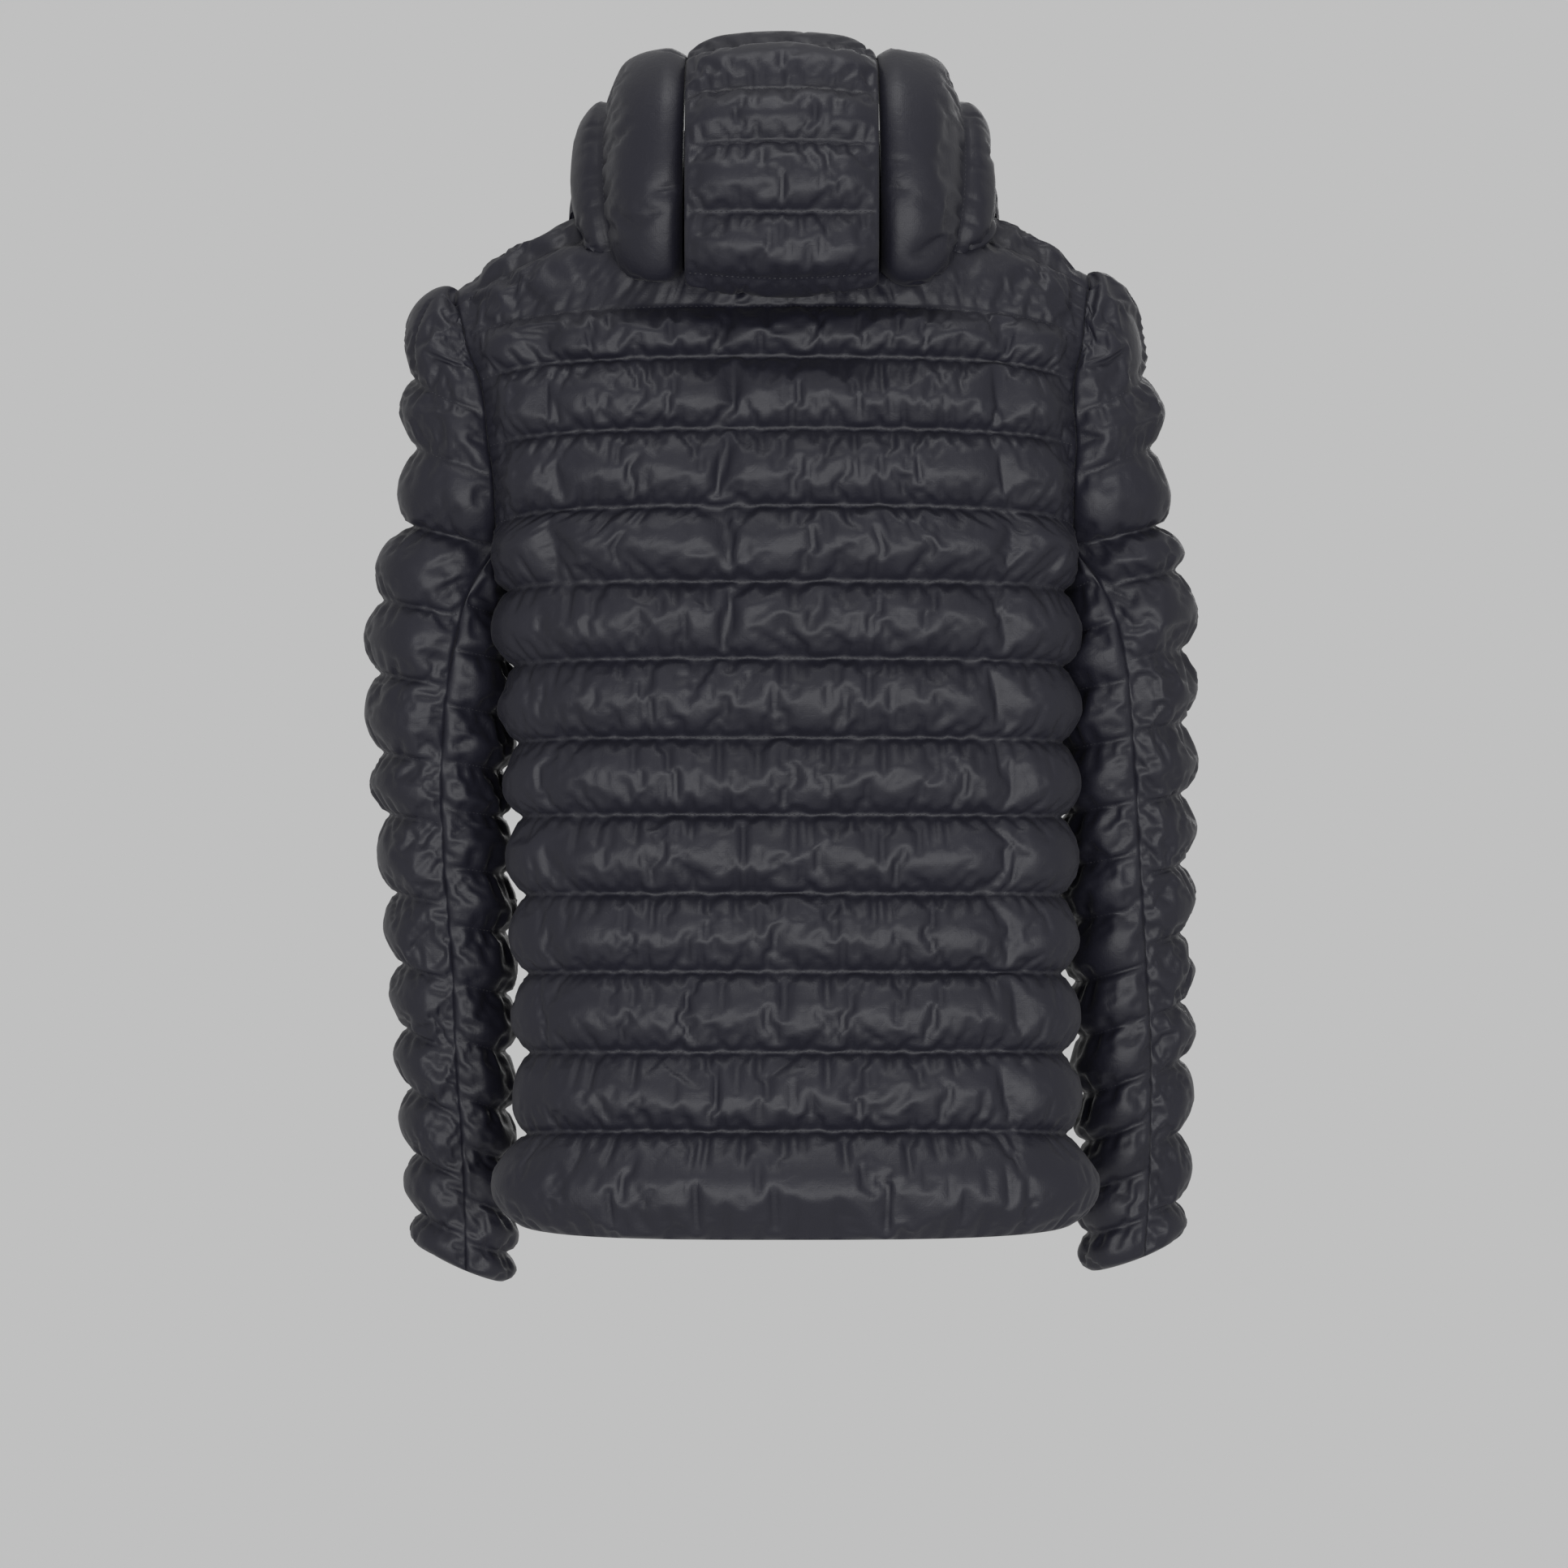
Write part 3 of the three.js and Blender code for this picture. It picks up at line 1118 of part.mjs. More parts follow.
// The pull hangs from a wire through the bail; y 0 and z 0 are the wire's middle
function pullGeometry() {
  const { length, width, thickness, wireRadius, mouth, armTop, lap, tipRadius } = PULL;
  const wire = solidOf(new THREE.CylinderGeometry(wireRadius, wireRadius, width, 14).rotateZ(Math.PI / 2));
  const armWidth = (width - mouth) / 2;
  const armPlace = (width - armWidth) / 2;
  const arms = [-1, 1].map((sign) =>
    block(armWidth, thickness, armTop, sign * armPlace, 0, -armTop / 2));
  const blade = new THREE.Shape();
  blade.moveTo(-width / 2, -armTop + lap);
  blade.lineTo(width / 2, -armTop + lap);
  blade.lineTo(tipRadius, -length + tipRadius);
  blade.absarc(0, -length + tipRadius, tipRadius, 0, -Math.PI, true);
  blade.lineTo(-width / 2, -armTop + lap);
  const sheet = new THREE.ExtrudeGeometry(blade, { depth: thickness, bevelEnabled: false, curveSegments: 8 });
  const plate = solidOf(sheet.rotateX(Math.PI / 2).translate(0, thickness / 2, 0));
  return geometryOf(wire.add(arms[0]).add(arms[1]).add(plate));
}

const jacket = new THREE.Group();
jacket.name = 'jacket';

function addPiece(name, geometry, finish, place = [0, 0, 0]) {
  const mesh = new THREE.Mesh(geometry, new THREE.MeshStandardMaterial(finish));
  mesh.name = name;
  mesh.position.set(...place);
  jacket.add(mesh);
}

// Every gap-th station and the last
function everyOther(stations, gap) {
  const kept = [];
  for (let index = 0; index < stations.length - 1; index += gap) kept.push(index);
  return [...kept, stations.length - 1];
}

// The inner face keeps every station beside the armhole, and fewer along the plain part
function innerStations(stations, dense, gap) {
  const keep = stations.map((_, index) => index);
  return keep.filter((index) => dense(index) || index % gap === 0 || index === stations.length - 1);
}

const backStations = backPanel();
const fronts = { left: frontPanel('left'), right: frontPanel('right') };
[backStations, fronts.left, fronts.right].forEach((stations) => {
  stations.forEach((station) => {
    station.out = station.base.map(torsoOut);
  });
});

const rings = {};
for (const side of ['left', 'right']) {
  const runs = armholeRuns(side, backStations, fronts[side]);
  const top = sleeveTop(side, runs);
  const under = sleeveUnder(side, runs);
  const alongUnder = top.filter(({ step }) => !step || step === UNDER_STEP);
  shareSeam(alongUnder, firstColumn, under, firstColumn);
  shareSeam(alongUnder, lastColumn, under, lastColumn);
  const sign = side === 'left' ? -1 : 1;
  const crownOuts = new Map();
  [[runs.back, 0], [runs.front, SLEEVE_COLUMNS]].forEach(([run, column]) => {
    run.slice(0, MITRE_STEPS).forEach((end, step) => {
      const station = top.find((row) => row.step === step);
      const own = station ? station.out[column] : [sign * CROWN_OUT[0], CROWN_OUT[1], CROWN_OUT[2]];
      const shared = unit(add(end.station.out[end.column], own));
      end.station.out[end.column] = shared;
      if (station) station.out[column] = shared;
      else crownOuts.set(end, shared);
    });
  });
  const crown = [runs.back[2], runs.back[1], runs.back[0], runs.front[1], runs.front[2]];
  top.unshift({
    base: crown.map(({ point }) => point),
    out: crown.map((end) => crownOuts.get(end)),
    rise: crown.map(() => 0),
  });
  addPiece(`sleeve_top_${side}`, panel(top, innerStations(top, (i) => i <= DENSE_ROWS.top, 2)), CLOTH);
  const underInner = innerStations(under, (i) => i < DENSE_ROWS.under, HIDDEN_SEGMENTS);
  addPiece(`sleeve_under_${side}`, panel(under, underInner), CLOTH);
  rings[side] = neckRing(side, backStations, fronts[side]);
}

const nearArmhole = (stations) => {
  const first = stations.length - 1 - (ARMHOLE_FOOT_STEPS + 3 * SEGMENTS);
  return (index) => index >= first;
};
const bodyInner = (stations, gap) => innerStations(stations, nearArmhole(stations), gap);
addPiece('back', panel(backStations, bodyInner(backStations, SEGMENTS)), CLOTH);
for (const side of ['left', 'right']) {
  addPiece(`front_${side}`, panel(fronts[side], bodyInner(fronts[side], HIDDEN_SEGMENTS)), CLOTH_SHADE);
}

const seamFootOf = ([x]) => besideNeck(x < 0 ? rings.left : rings.right, 1, 0, 0);
const nearestRing = (point) => {
  const ring = point[0] < 0 ? rings.left : rings.right;
  return RING_SAMPLES.reduce((best, share) => {
    const place = besideNeck(ring, share, 0, 0);
    return distance(place, point) < distance(best, point) ? place : best;
  }, seamFootOf(point));
};
addPiece('hood_centre', hoodGeometry(hoodCentre(), nearestRing), CLOTH);
for (const side of ['left', 'right']) {
  addPiece(`hood_side_${side}`, hoodGeometry(hoodSide(side, rings[side]), nearestRing), CLOTH);
}
addPiece('collar', collarGeometry(rings), CLOTH_SHADE);

const path = zipPath(rings);
addPiece('zip_tape_left', tapeGeometry('left', path), TAPE);
addPiece('zip_tape_right', tapeGeometry('right', path), TAPE);
const zipTop = path[path.length - 1];
const sliderZ = zipTop[1] - SLIDER.belowTop;
const behindSlider = path.filter(([, z]) => Math.abs(z - sliderZ) < SLIDER.height).map(([y]) => y);
const sliderPlace = [0, Math.max(...behindSlider) + TAPE_THICKNESS / 2 + SLIDER.gap, sliderZ];
addPiece('zip_slider', sliderGeometry(), METAL, sliderPlace);
addPiece('zip_pull', pullGeometry(), METAL, add(sliderPlace, [0, SLIDER.plate + HINGE_STANDOFF, 0]));

export default jacket;
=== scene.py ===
"""Hooded puffer jacket in its worn form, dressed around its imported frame.

Each quilted panel is rebuilt from the cut's own sizes as a fine sheet, filled out by a short cloth
simulation between its stitch lines, and closed over a plain inner face. Lengths are in millimetres
until a mesh is made; +Z is up, +Y is where the wearer faces and -X is the wearer's left.
"""
from __future__ import annotations

import json
import logging
import math
from dataclasses import dataclass, field
from enum import Enum
from typing import Iterable

import bpy
import numpy as np
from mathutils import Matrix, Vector

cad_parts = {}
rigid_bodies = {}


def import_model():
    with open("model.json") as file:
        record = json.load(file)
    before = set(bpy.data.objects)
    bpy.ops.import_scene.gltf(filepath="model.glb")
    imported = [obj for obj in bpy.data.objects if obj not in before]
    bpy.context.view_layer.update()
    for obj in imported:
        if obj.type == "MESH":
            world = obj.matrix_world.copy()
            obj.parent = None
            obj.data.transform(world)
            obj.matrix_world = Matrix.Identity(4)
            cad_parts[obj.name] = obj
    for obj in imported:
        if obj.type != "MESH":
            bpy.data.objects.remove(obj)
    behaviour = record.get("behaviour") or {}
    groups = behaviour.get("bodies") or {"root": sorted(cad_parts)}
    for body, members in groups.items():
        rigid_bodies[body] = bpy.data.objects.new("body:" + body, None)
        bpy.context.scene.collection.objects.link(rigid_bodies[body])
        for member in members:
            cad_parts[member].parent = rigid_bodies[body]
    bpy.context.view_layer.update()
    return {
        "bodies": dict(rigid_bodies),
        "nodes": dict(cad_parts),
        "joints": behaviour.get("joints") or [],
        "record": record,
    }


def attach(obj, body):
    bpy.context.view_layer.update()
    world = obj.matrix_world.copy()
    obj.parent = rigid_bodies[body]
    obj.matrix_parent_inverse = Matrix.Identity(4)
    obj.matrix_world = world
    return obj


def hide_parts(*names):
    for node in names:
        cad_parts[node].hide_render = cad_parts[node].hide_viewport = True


LOG = logging.getLogger("jacket")
MM = 0.001
JACKET_BODY = "jacket"


class Side(Enum):
    """The wearer's sides, with the sign of their x."""

    LEFT = -1
    RIGHT = 1

    @property
    def word(self) -> str:
        """The side's name in lower case."""
        return self.name.lower()


def mix(start: np.ndarray, end: np.ndarray, share: np.ndarray) -> np.ndarray:
    """A value between two others."""
    return start + (end - start) * share


def signed_power(value: np.ndarray, power: float) -> np.ndarray:
    """A power that keeps the value's sign."""
    return np.sign(value) * np.abs(value) ** power


def unit(rows: np.ndarray) -> np.ndarray:
    """Directions of length one."""
    length = np.linalg.norm(rows, axis=-1, keepdims=True)
    return rows / np.maximum(length, 1e-9)


def spaced(low: float, high: float, step: float) -> np.ndarray:
    """Evenly spaced places, both ends kept.

    Args:
        low: First place.
        high: Last place.
        step: Wanted distance between places.

    Returns:
        The places, about a step apart.
    """
    return np.linspace(low, high, max(2, int(round(abs(high - low) / step)) + 1))


class Table:
    """Rows of sizes, read on a smooth curve through them."""

    def __init__(self, key: str, *rows: dict[str, float]) -> None:
        """Keep the rows in rising order.

        Args:
            key: Name of the column that the table is read by.
            rows: The table's rows.
        """
        ordered = sorted(rows, key=lambda row: row[key])
        self.places = np.array([row[key] for row in ordered], float)
        self.columns = {name: np.array([row[name] for row in ordered], float) for name in ordered[0]}

    def read(self, name: str, place: np.ndarray) -> np.ndarray:
        """A column at some places.

        Args:
            name: The column.
            place: Places along the table's key.

        Returns:
            The column's values there.
        """
        keys, values = self.places, self.columns[name]
        at = np.clip(place, keys[0], keys[-1])
        low = np.clip(np.searchsorted(keys, at, side="left") - 1, 0, len(keys) - 2)
        high = low + 1
        before = np.maximum(low - 1, 0)
        after = np.minimum(high + 1, len(keys) - 1)
        span = keys[high] - keys[low]
        share = (at - keys[low]) / span
        slope_low = (values[high] - values[before]) / (keys[high] - keys[before]) * span
        slope_high = (values[after] - values[low]) / (keys[after] - keys[low]) * span
        two, three = share**2, share**3
        return (
            (2 * three - 3 * two + 1) * values[low]
            + (three - 2 * two + share) * slope_low
            + (3 * two - 2 * three) * values[high]
            + (three - two) * slope_high
        )


class Curve:
    """A smooth curve through points, read by its share of length."""

    SAMPLES = 60

    def __init__(self, points: Iterable[Iterable[float]]) -> None:
        """Sample a centripetal curve.

        Args:
            points: The points that the curve runs through.
        """
        given = np.array([list(point) for point in points], float)
        before = 2 * given[0] - given[1]
        after = 2 * given[-1] - given[-2]
        chain = np.vstack([before, given, after])
        traced = []
        for index in range(1, len(chain) - 2):
            traced.extend(self._piece(*chain[index - 1 : index + 3]))
        traced.append(given[-1])
        self.points = np.array(traced)
        steps = np.linalg.norm(np.diff(self.points, axis=0), axis=1)
        self.run = np.concatenate([[0.0], np.cumsum(steps)])
        self.length = float(self.run[-1])

    def _piece(self, a: np.ndarray, b: np.ndarray, c: np.ndarray, d: np.ndarray) -> list[np.ndarray]:
        """Points of the curve between b and c."""
        knots = [max(float(np.linalg.norm(q - p)) ** 0.5, 1e-4) for p, q in ((a, b), (b, c), (c, d))]
        lead = (b - a) / knots[0] - (c - a) / (knots[0] + knots[1]) + (c - b) / knots[1]
        tail = (c - b) / knots[1] - (d - b) / (knots[1] + knots[2]) + (d - c) / knots[2]
        lead, tail = lead * knots[1], tail * knots[1]
        found = []
        for step in range(self.SAMPLES):
            share = step / self.SAMPLES
            two, three = share**2, share**3
            found.append(
                (2 * three - 3 * two + 1) * b
                + (three - 2 * two + share) * lead
                + (3 * two - 2 * three) * c
                + (three - two) * tail
            )
        return found

    def at(self, share: np.ndarray) -> np.ndarray:
        """Points at shares of the curve's length."""
        run = np.clip(share, 0, 1) * self.length
        return np.stack([np.interp(run, self.run, self.points[:, axis]) for axis in range(3)], axis=-1)

    def along(self, share: np.ndarray) -> np.ndarray:
        """Directions of the curve at shares of its length."""
        reach = 0.004
        return unit(self.at(np.minimum(share + reach, 1)) - self.at(np.maximum(share - reach, 0)))


def fullness(share: np.ndarray) -> np.ndarray:
    """How full a quilt row stands, 0 on its stitch lines and 1 just below its middle."""
    sag, roundness = 0.88, 0.75
    return np.sin(np.pi * np.clip(share, 0, 1) ** sag) ** roundness


def ease(distance: np.ndarray, reach: float, power: float) -> np.ndarray:
    """Rises from 0 to 1 over a distance."""
    return np.sin(np.minimum(1, distance / reach) * np.pi / 2) ** power


@dataclass
class Torso:
    """The surface that the back and the fronts are cut to."""

    middle_y: float = -47
    boxiness: float = 0.75
    dent_y: float = 14
    dent_width: float = 62
    chest_z: float = -200
    over_rise: float = 2.6
    over_depth: float = 1.6
    neck_half: float = 78
    neck_back_z: float = 15
    neck_front_z: float = -42
    neck_seam_inset: float = 3
    seam_behind: float = 12
    shoulder_end_z: float = -23
    underarm_z: float = -210.3
    foot_z: float = -133.2
    front_scoop: float = 7
    zip_half: float = 5.2
    sections: Table = field(default_factory=lambda: Table(
        "z",
        dict(z=-676, left=190, right=206, back=127, front=122, dent=0.09),
        dict(z=-640, left=193, right=209, back=130, front=125, dent=0.1),
        dict(z=-605, left=183, right=201, back=122, front=122, dent=0.1),
        dict(z=-545, left=182, right=199, back=116, front=122, dent=0.1),
        dict(z=-440, left=185, right=198, back=112, front=122, dent=0.1),
        dict(z=-330, left=191, right=200, back=118, front=126, dent=0.12),
        dict(z=-240, left=199, right=202, back=131, front=130, dent=0.185),
        dict(z=-222, left=201, right=203, back=133, front=130, dent=0.19),
        dict(z=-200, left=205, right=206, back=136, front=130, dent=0.155),
        dict(z=-133, left=219, right=216, back=139, front=128, dent=0.08),
        dict(z=-60, left=238, right=223, back=139, front=124, dent=0),
        dict(z=60, left=250, right=235, back=139, front=120, dent=0),
    ))
    armhole: Table = field(default_factory=lambda: Table(
        "z",
        dict(z=-133.2, left=205, right=203),
        dict(z=-92, left=209, right=200),
        dict(z=-58, left=221, right=207),
        dict(z=-20, left=228, right=212),
        dict(z=0, left=229, right=213),
    ))
    side_seam: Table = field(default_factory=lambda: Table(
        "z",
        dict(z=-676, y=-22),
        dict(z=-440, y=-22),
        dict(z=-300, y=-12),
        dict(z=-210, y=0),
    ))
    line_centres: tuple[float, ...] = (
        -676.7, -603, -549, -494.5, -440.6, -386.6, -333.8,
        -279.8, -227.5, -176.3, -124, -74.5, -38.7,
    )
    line_ends: tuple[float, ...] = (
        -666.3, -611.7, -553.7, -498.6, -443.9, -389.3, -338.7,
        -286.9, -235.6, -187.7, -133.2, -87.6, -58.3,
    )
    foot_band: int = 8
    foot_bands: int = 2
    ridge_slopes: tuple[float, float] = (0.24, 0.244)
    ridge_falls: tuple[float, float] = (0.00126, 0.00114)
    ridge_neck: float = 43

    def both(self, table: Table, place: np.ndarray, x: np.ndarray) -> np.ndarray:
        """A table's left or right column, by the sign of x."""
        return np.where(x < 0, table.read("left", place), table.read("right", place))

    def depth(self, name: str, z: np.ndarray) -> np.ndarray:
        """Depth of the back or the front from the ridge's plane."""
        sign = 1 if name == "back" else -1
        return self.sections.read(name, z) + sign * self.middle_y

    def ridge(self, x: np.ndarray) -> np.ndarray:
        """Height of the shoulders' ridge."""
        slope = np.where(x < 0, *self.ridge_slopes)
        fall = np.where(x < 0, *self.ridge_falls)
        beyond = np.maximum(0, np.abs(x) - self.neck_half)
        return self.ridge_neck - slope * beyond - fall * beyond**2

    def climb(self, x: np.ndarray, z: np.ndarray) -> np.ndarray:
        """Share of the way from the chest up to the ridge."""
        return np.clip((z - self.chest_z) / (self.ridge(x) - self.chest_z), 0, 1)

    def pressed(self, x: np.ndarray, y: np.ndarray, z: np.ndarray) -> np.ndarray:
        """x where the arms press the sides in."""
        dent = self.sections.read("dent", z)
        return x * (1 - dent * np.exp(-(((y - self.dent_y) / self.dent_width) ** 2)))

    def by_angle(self, z: np.ndarray, angle: np.ndarray) -> np.ndarray:
        """Points of the level sections.

        Args:
            z: Heights.
            angle: 0 at the centre back, growing to either side.

        Returns:
            The points.
        """
        half = self.both(self.sections, z, angle)
        x = half * signed_power(np.sin(angle), self.boxiness)
        over = (1 - self.climb(x, z) ** self.over_rise) ** (1 / self.over_depth)
        share = np.abs(np.cos(angle)) ** self.boxiness * over
        depth = np.where(np.cos(angle) > 0, -self.depth("back", z), self.depth("front", z))
        y = self.middle_y + depth * share
        return np.stack([self.pressed(x, y, z), y, z + 0 * y], axis=-1)

    def over(self, x: np.ndarray, turn: np.ndarray) -> np.ndarray:
        """Points above the chest.

        Args:
            x: Distances from the centre.
            turn: 0 at the front, a quarter turn on the ridge, a half at the back.

        Returns:
            The points.
        """
        z = self.chest_z + (self.ridge(x) - self.chest_z) * np.sin(turn) ** (2 / self.over_rise)
        half = self.both(self.sections, z, x)
        across = np.maximum(0, 1 - np.minimum(1, np.abs(x) / half) ** (2 / self.boxiness))
        share = np.abs(np.cos(turn)) ** (2 / self.over_depth) * across ** (self.boxiness / 2)
        depth = np.where(np.cos(turn) > 0, self.depth("front", z), -self.depth("back", z))
        y = self.middle_y + depth * share
        return np.stack([self.pressed(x, y, z), y, z], axis=-1)

    def turn_at(self, x: np.ndarray, z: np.ndarray, front: bool) -> np.ndarray:
        """The turn at a height on the front or the back."""
        turn = np.arcsin(self.climb(x, z) ** (self.over_rise / 2))
        return turn if front else np.pi - turn

    def seam_turn(self, x: np.ndarray) -> np.ndarray:
        """Turn of the shoulder seam, a little behind the ridge."""
        return self.turn_at(x, self.ridge(x) - self.seam_behind, False)

    def outward(self, points: np.ndarray) -> np.ndarray:
        """Outward directions on the torso."""
        x, y, z = points[..., 0], points[..., 1], points[..., 2]
        half = self.both(self.sections, z, x)
        depth = np.where(y < self.middle_y, self.depth("back", z), self.depth("front", z))
        across = signed_power(x / half, 3)
        along = signed_power((y - self.middle_y) / depth, 1.4)
        lean = np.minimum(0.45, np.maximum(0, np.abs(x) - self.neck_half) * 0.003)
        up = self.climb(x, z) ** 4
        return unit(np.stack([across * (1 - up) + np.sign(x) * lean * up, along, up], axis=-1))

    def angle_of_x(self, x: np.ndarray, half: np.ndarray) -> np.ndarray:
        """Section angle at a distance from the centre."""
        return np.arcsin(np.minimum(1, (np.abs(x) / half) ** (1 / self.boxiness)))

    def side_angle(self, z: np.ndarray) -> np.ndarray:
        """Section angle of the side seam."""
        ahead = self.side_seam.read("y", z) - self.middle_y
        return np.pi / 2 + np.arcsin((ahead / self.depth("front", z)) ** (1 / self.boxiness))

    def foot_height(self, share: np.ndarray) -> np.ndarray:
        """Height on the armhole's round foot."""
        return mix(self.underarm_z, self.foot_z, 1 - np.cos(share * np.pi / 2))

    def foot_angle(self, share: np.ndarray, side: Side, front: bool) -> np.ndarray:
        """Section angle on the armhole's round foot."""
        under = self.side_angle(np.float64(self.underarm_z))
        half = self.sections.read(side.word, np.float64(self.foot_z))
        edge = self.armhole.read(side.word, np.float64(self.foot_z)) - (self.front_scoop if front else 0)
        straight = self.angle_of_x(edge, half)
        end = np.pi - straight if front else straight
        return mix(end, under, 1 - np.sin(share * np.pi / 2))

    def border(self, row: np.ndarray) -> tuple[np.ndarray, np.ndarray]:
        """Height of the side border, and its place on the armhole's foot.

        Args:
            row: Places counted in quilt rows up from the hem.

        Returns:
            Heights, and shares of the foot, which are below 0 under it.
        """
        band = self.foot_band
        knots = [band + extra for extra in (0.42, 0.62, 0.82, 1, 4 / 3, 5 / 3, 2)]
        foot = np.interp(row, knots, np.linspace(0, 1, 7))
        foot = np.where(row < knots[0], -1.0, foot)
        low = self.line_ends[band]
        middle = (low + self.underarm_z) / 2
        level = np.interp(row, np.arange(13), self.line_ends)
        below = np.interp(row, [band, band + 0.22, knots[0]], [low, middle, self.underarm_z])
        z = np.where((row > band) & (row < knots[0]), below, level)
        z = np.where((foot >= 0) & (row < band + 2), self.foot_height(np.maximum(foot, 0)), z)
        return z, foot

    def border_angle(self, row: np.ndarray, side: Side, front: bool) -> np.ndarray:
        """Section angle of a panel's side border."""
        z, foot = self.border(row)
        low = self.side_angle(z)
        return np.where(foot < 0, low, self.foot_angle(np.maximum(foot, 0), side, front))

    def top_place(self, count: np.ndarray, side: Side) -> np.ndarray:
        """Distance from the centre on the back's top border.

        Args:
            count: Places from the centre: 4 along the neck, then 5 along the shoulder.
            side: The wearer's side.

        Returns:
            The distances.
        """
        neck = self.neck_half - self.neck_seam_inset
        end = self.armhole.read(side.word, np.float64(self.shoulder_end_z))
        return np.where(count <= 4, neck * count / 4, mix(neck, end, (count - 4) / 5))

    def back(self, rows: np.ndarray, columns: np.ndarray) -> np.ndarray:
        """Points of the back.

        Args:
            rows: Places counted in quilt rows up from the hem, up to 13.
            columns: Places from the left border, -1, to the right one, 1.

        Returns:
            A grid of points.
        """
        crowd = signed_power(columns, 1.25)
        drop = np.abs(columns) ** 3.2
        grid = np.zeros((len(rows), len(columns), 3))
        right = columns >= 0
        for side, chosen in ((Side.LEFT, ~right), (Side.RIGHT, right)):
            level = np.minimum(rows, 12)
            z, _ = self.border(level)
            angle = self.border_angle(level, side, False)
            half = self.sections.read(side.word, z)
            upper = self.angle_of_x(self.armhole.read(side.word, z), half)
            angle = np.where(level >= self.foot_band + self.foot_bands, upper, angle)
            centre = np.interp(level, np.arange(13), self.line_centres)
            height = mix(centre[:, None], z[:, None], drop[None, chosen])
            grid[:, chosen] = self.by_angle(height, crowd[None, chosen] * angle[:, None])
            top = rows > 12
            if top.any():
                start = grid[np.argmin(np.abs(rows - 12))][chosen]
                count = np.abs(columns[chosen]) * 9
                end = side.value * self.top_place(count, side)
                turn = self.turn_at(start[:, 0], start[:, 2], False)
                share = (rows[top] - 12)[:, None]
                target = self._top_turn(count, end, side)
                grid[np.ix_(top, chosen)] = self.over(
                    mix(start[None, :, 0], end[None], share), mix(turn[None], target[None], share)
                )
        return grid

    def _top_turn(self, count: np.ndarray, x: np.ndarray, side: Side) -> np.ndarray:
        """Turn of the back's top border: the neck seam, then the shoulder seam."""
        dip = np.minimum(1, np.abs(x) / self.neck_half) ** 2.2
        neck = self.turn_at(x, mix(self.neck_back_z, self.ridge(x), dip), False)
        last = side.value * self.top_place(np.array([3.0]), side)
        last_dip = (np.abs(last) / self.neck_half) ** 2.2
        last_turn = self.turn_at(last, mix(self.neck_back_z, self.ridge(last), last_dip), False)
        corner = self.seam_turn(side.value * self.top_place(np.array([4.0]), side))
        between = mix(last_turn, corner, np.clip(count - 3, 0, 1))
        return np.where(count <= 3, neck, np.where(count < 4, between, self.seam_turn(x)))

    def front(self, side: Side, rows: np.ndarray, columns: np.ndarray) -> np.ndarray:
        """Points of a front.

        Args:
            side: The wearer's side.
            rows: Places counted in quilt rows up from the hem, up to 13.
            columns: Places from the zip, 0, to the side border, 1.

        Returns:
            A grid of points.
        """
        level = np.minimum(rows, 10)
        z, _ = self.border(level)
        half = self.sections.read(side.word, z)
        edge = np.pi - self.angle_of_x(np.float64(self.zip_half), half)
        border = self.border_angle(level, side, True)
        angle = side.value * mix(edge[:, None], border[:, None], columns[None] ** 0.92)
        rise = 6 * (1 - columns[None]) ** 2
        grid = self.by_angle(z[:, None] + rise, angle)
        top = rows > 10
        if top.any():
            start = grid[np.argmin(np.abs(rows - 10))]
            way = ((rows[top] - 10) / 3)[:, None]
            x_end, turn_end = self._front_top(columns, side)
            turn = mix(self.turn_at(start[:, 0], start[:, 2], True)[None], turn_end[None], way)
            x = mix(start[None, :, 0], x_end[None], way)
            last_z = self.over(start[None, -1:, 0] + 0 * way, turn[:, -1:])[..., 2]
            scoop = self.front_scoop * (1 - way) ** 1.5
            last_x = side.value * (self.armhole.read(side.word, last_z) - scoop)
            near = np.clip(columns * 11 - 10, 0, 1)[None]
            grid[top] = self.over(x + near * (last_x - x[:, -1:]) * (way < 1), turn)
        return grid

    def _front_top(self, columns: np.ndarray, side: Side) -> tuple[np.ndarray, np.ndarray]:
        """Distance and turn of a front's top border: the neck seam, then the shoulder seam."""
        count = columns * 11
        swing = np.minimum(count / 5, 1) * np.pi / 2
        neck_x = side.value * mix(self.zip_half, self.neck_half, np.sin(swing))
        share = np.minimum(1, np.abs(neck_x) / self.neck_half)
        top = self.ridge(neck_x)
        neck_z = top - (top - self.neck_front_z) * np.sqrt(1 - share**2)
        neck_turn = self.turn_at(neck_x, neck_z, True)
        seam_x = side.value * self.top_place(np.maximum(count - 6, 0) + 4, side)
        seam_turn = self.seam_turn(seam_x)
        step = np.clip(count - 5, 0, 1)
        return mix(neck_x, seam_x, step), mix(neck_turn, seam_turn, step)


@dataclass
class Sheet:
    """A quilted panel's outer face: a grid of points with what its rows need.

    The grid's first axis runs across the stitch lines and its second along them.
    """

    name: str
    base: np.ndarray
    out: np.ndarray
    rise: np.ndarray
    lines: list[int]
    wall: float = 2.4
    seed: int = 0
    pucker: float = 1.3
    shrink: float = 0.06

    @property
    def grid(self) -> np.ndarray:
        """The outer points before the filling swells."""
        return self.base + self.out * self.rise[..., None]

    def inner(self, gap: int) -> np.ndarray:
        """The plain inner face, on every gap-th row and column."""
        plain = self.base - self.out * self.wall
        rows = sorted({*range(0, plain.shape[0], gap), plain.shape[0] - 1})
        columns = sorted({*range(0, plain.shape[1], gap), plain.shape[1] - 1})
        return plain[np.ix_(rows, columns)]


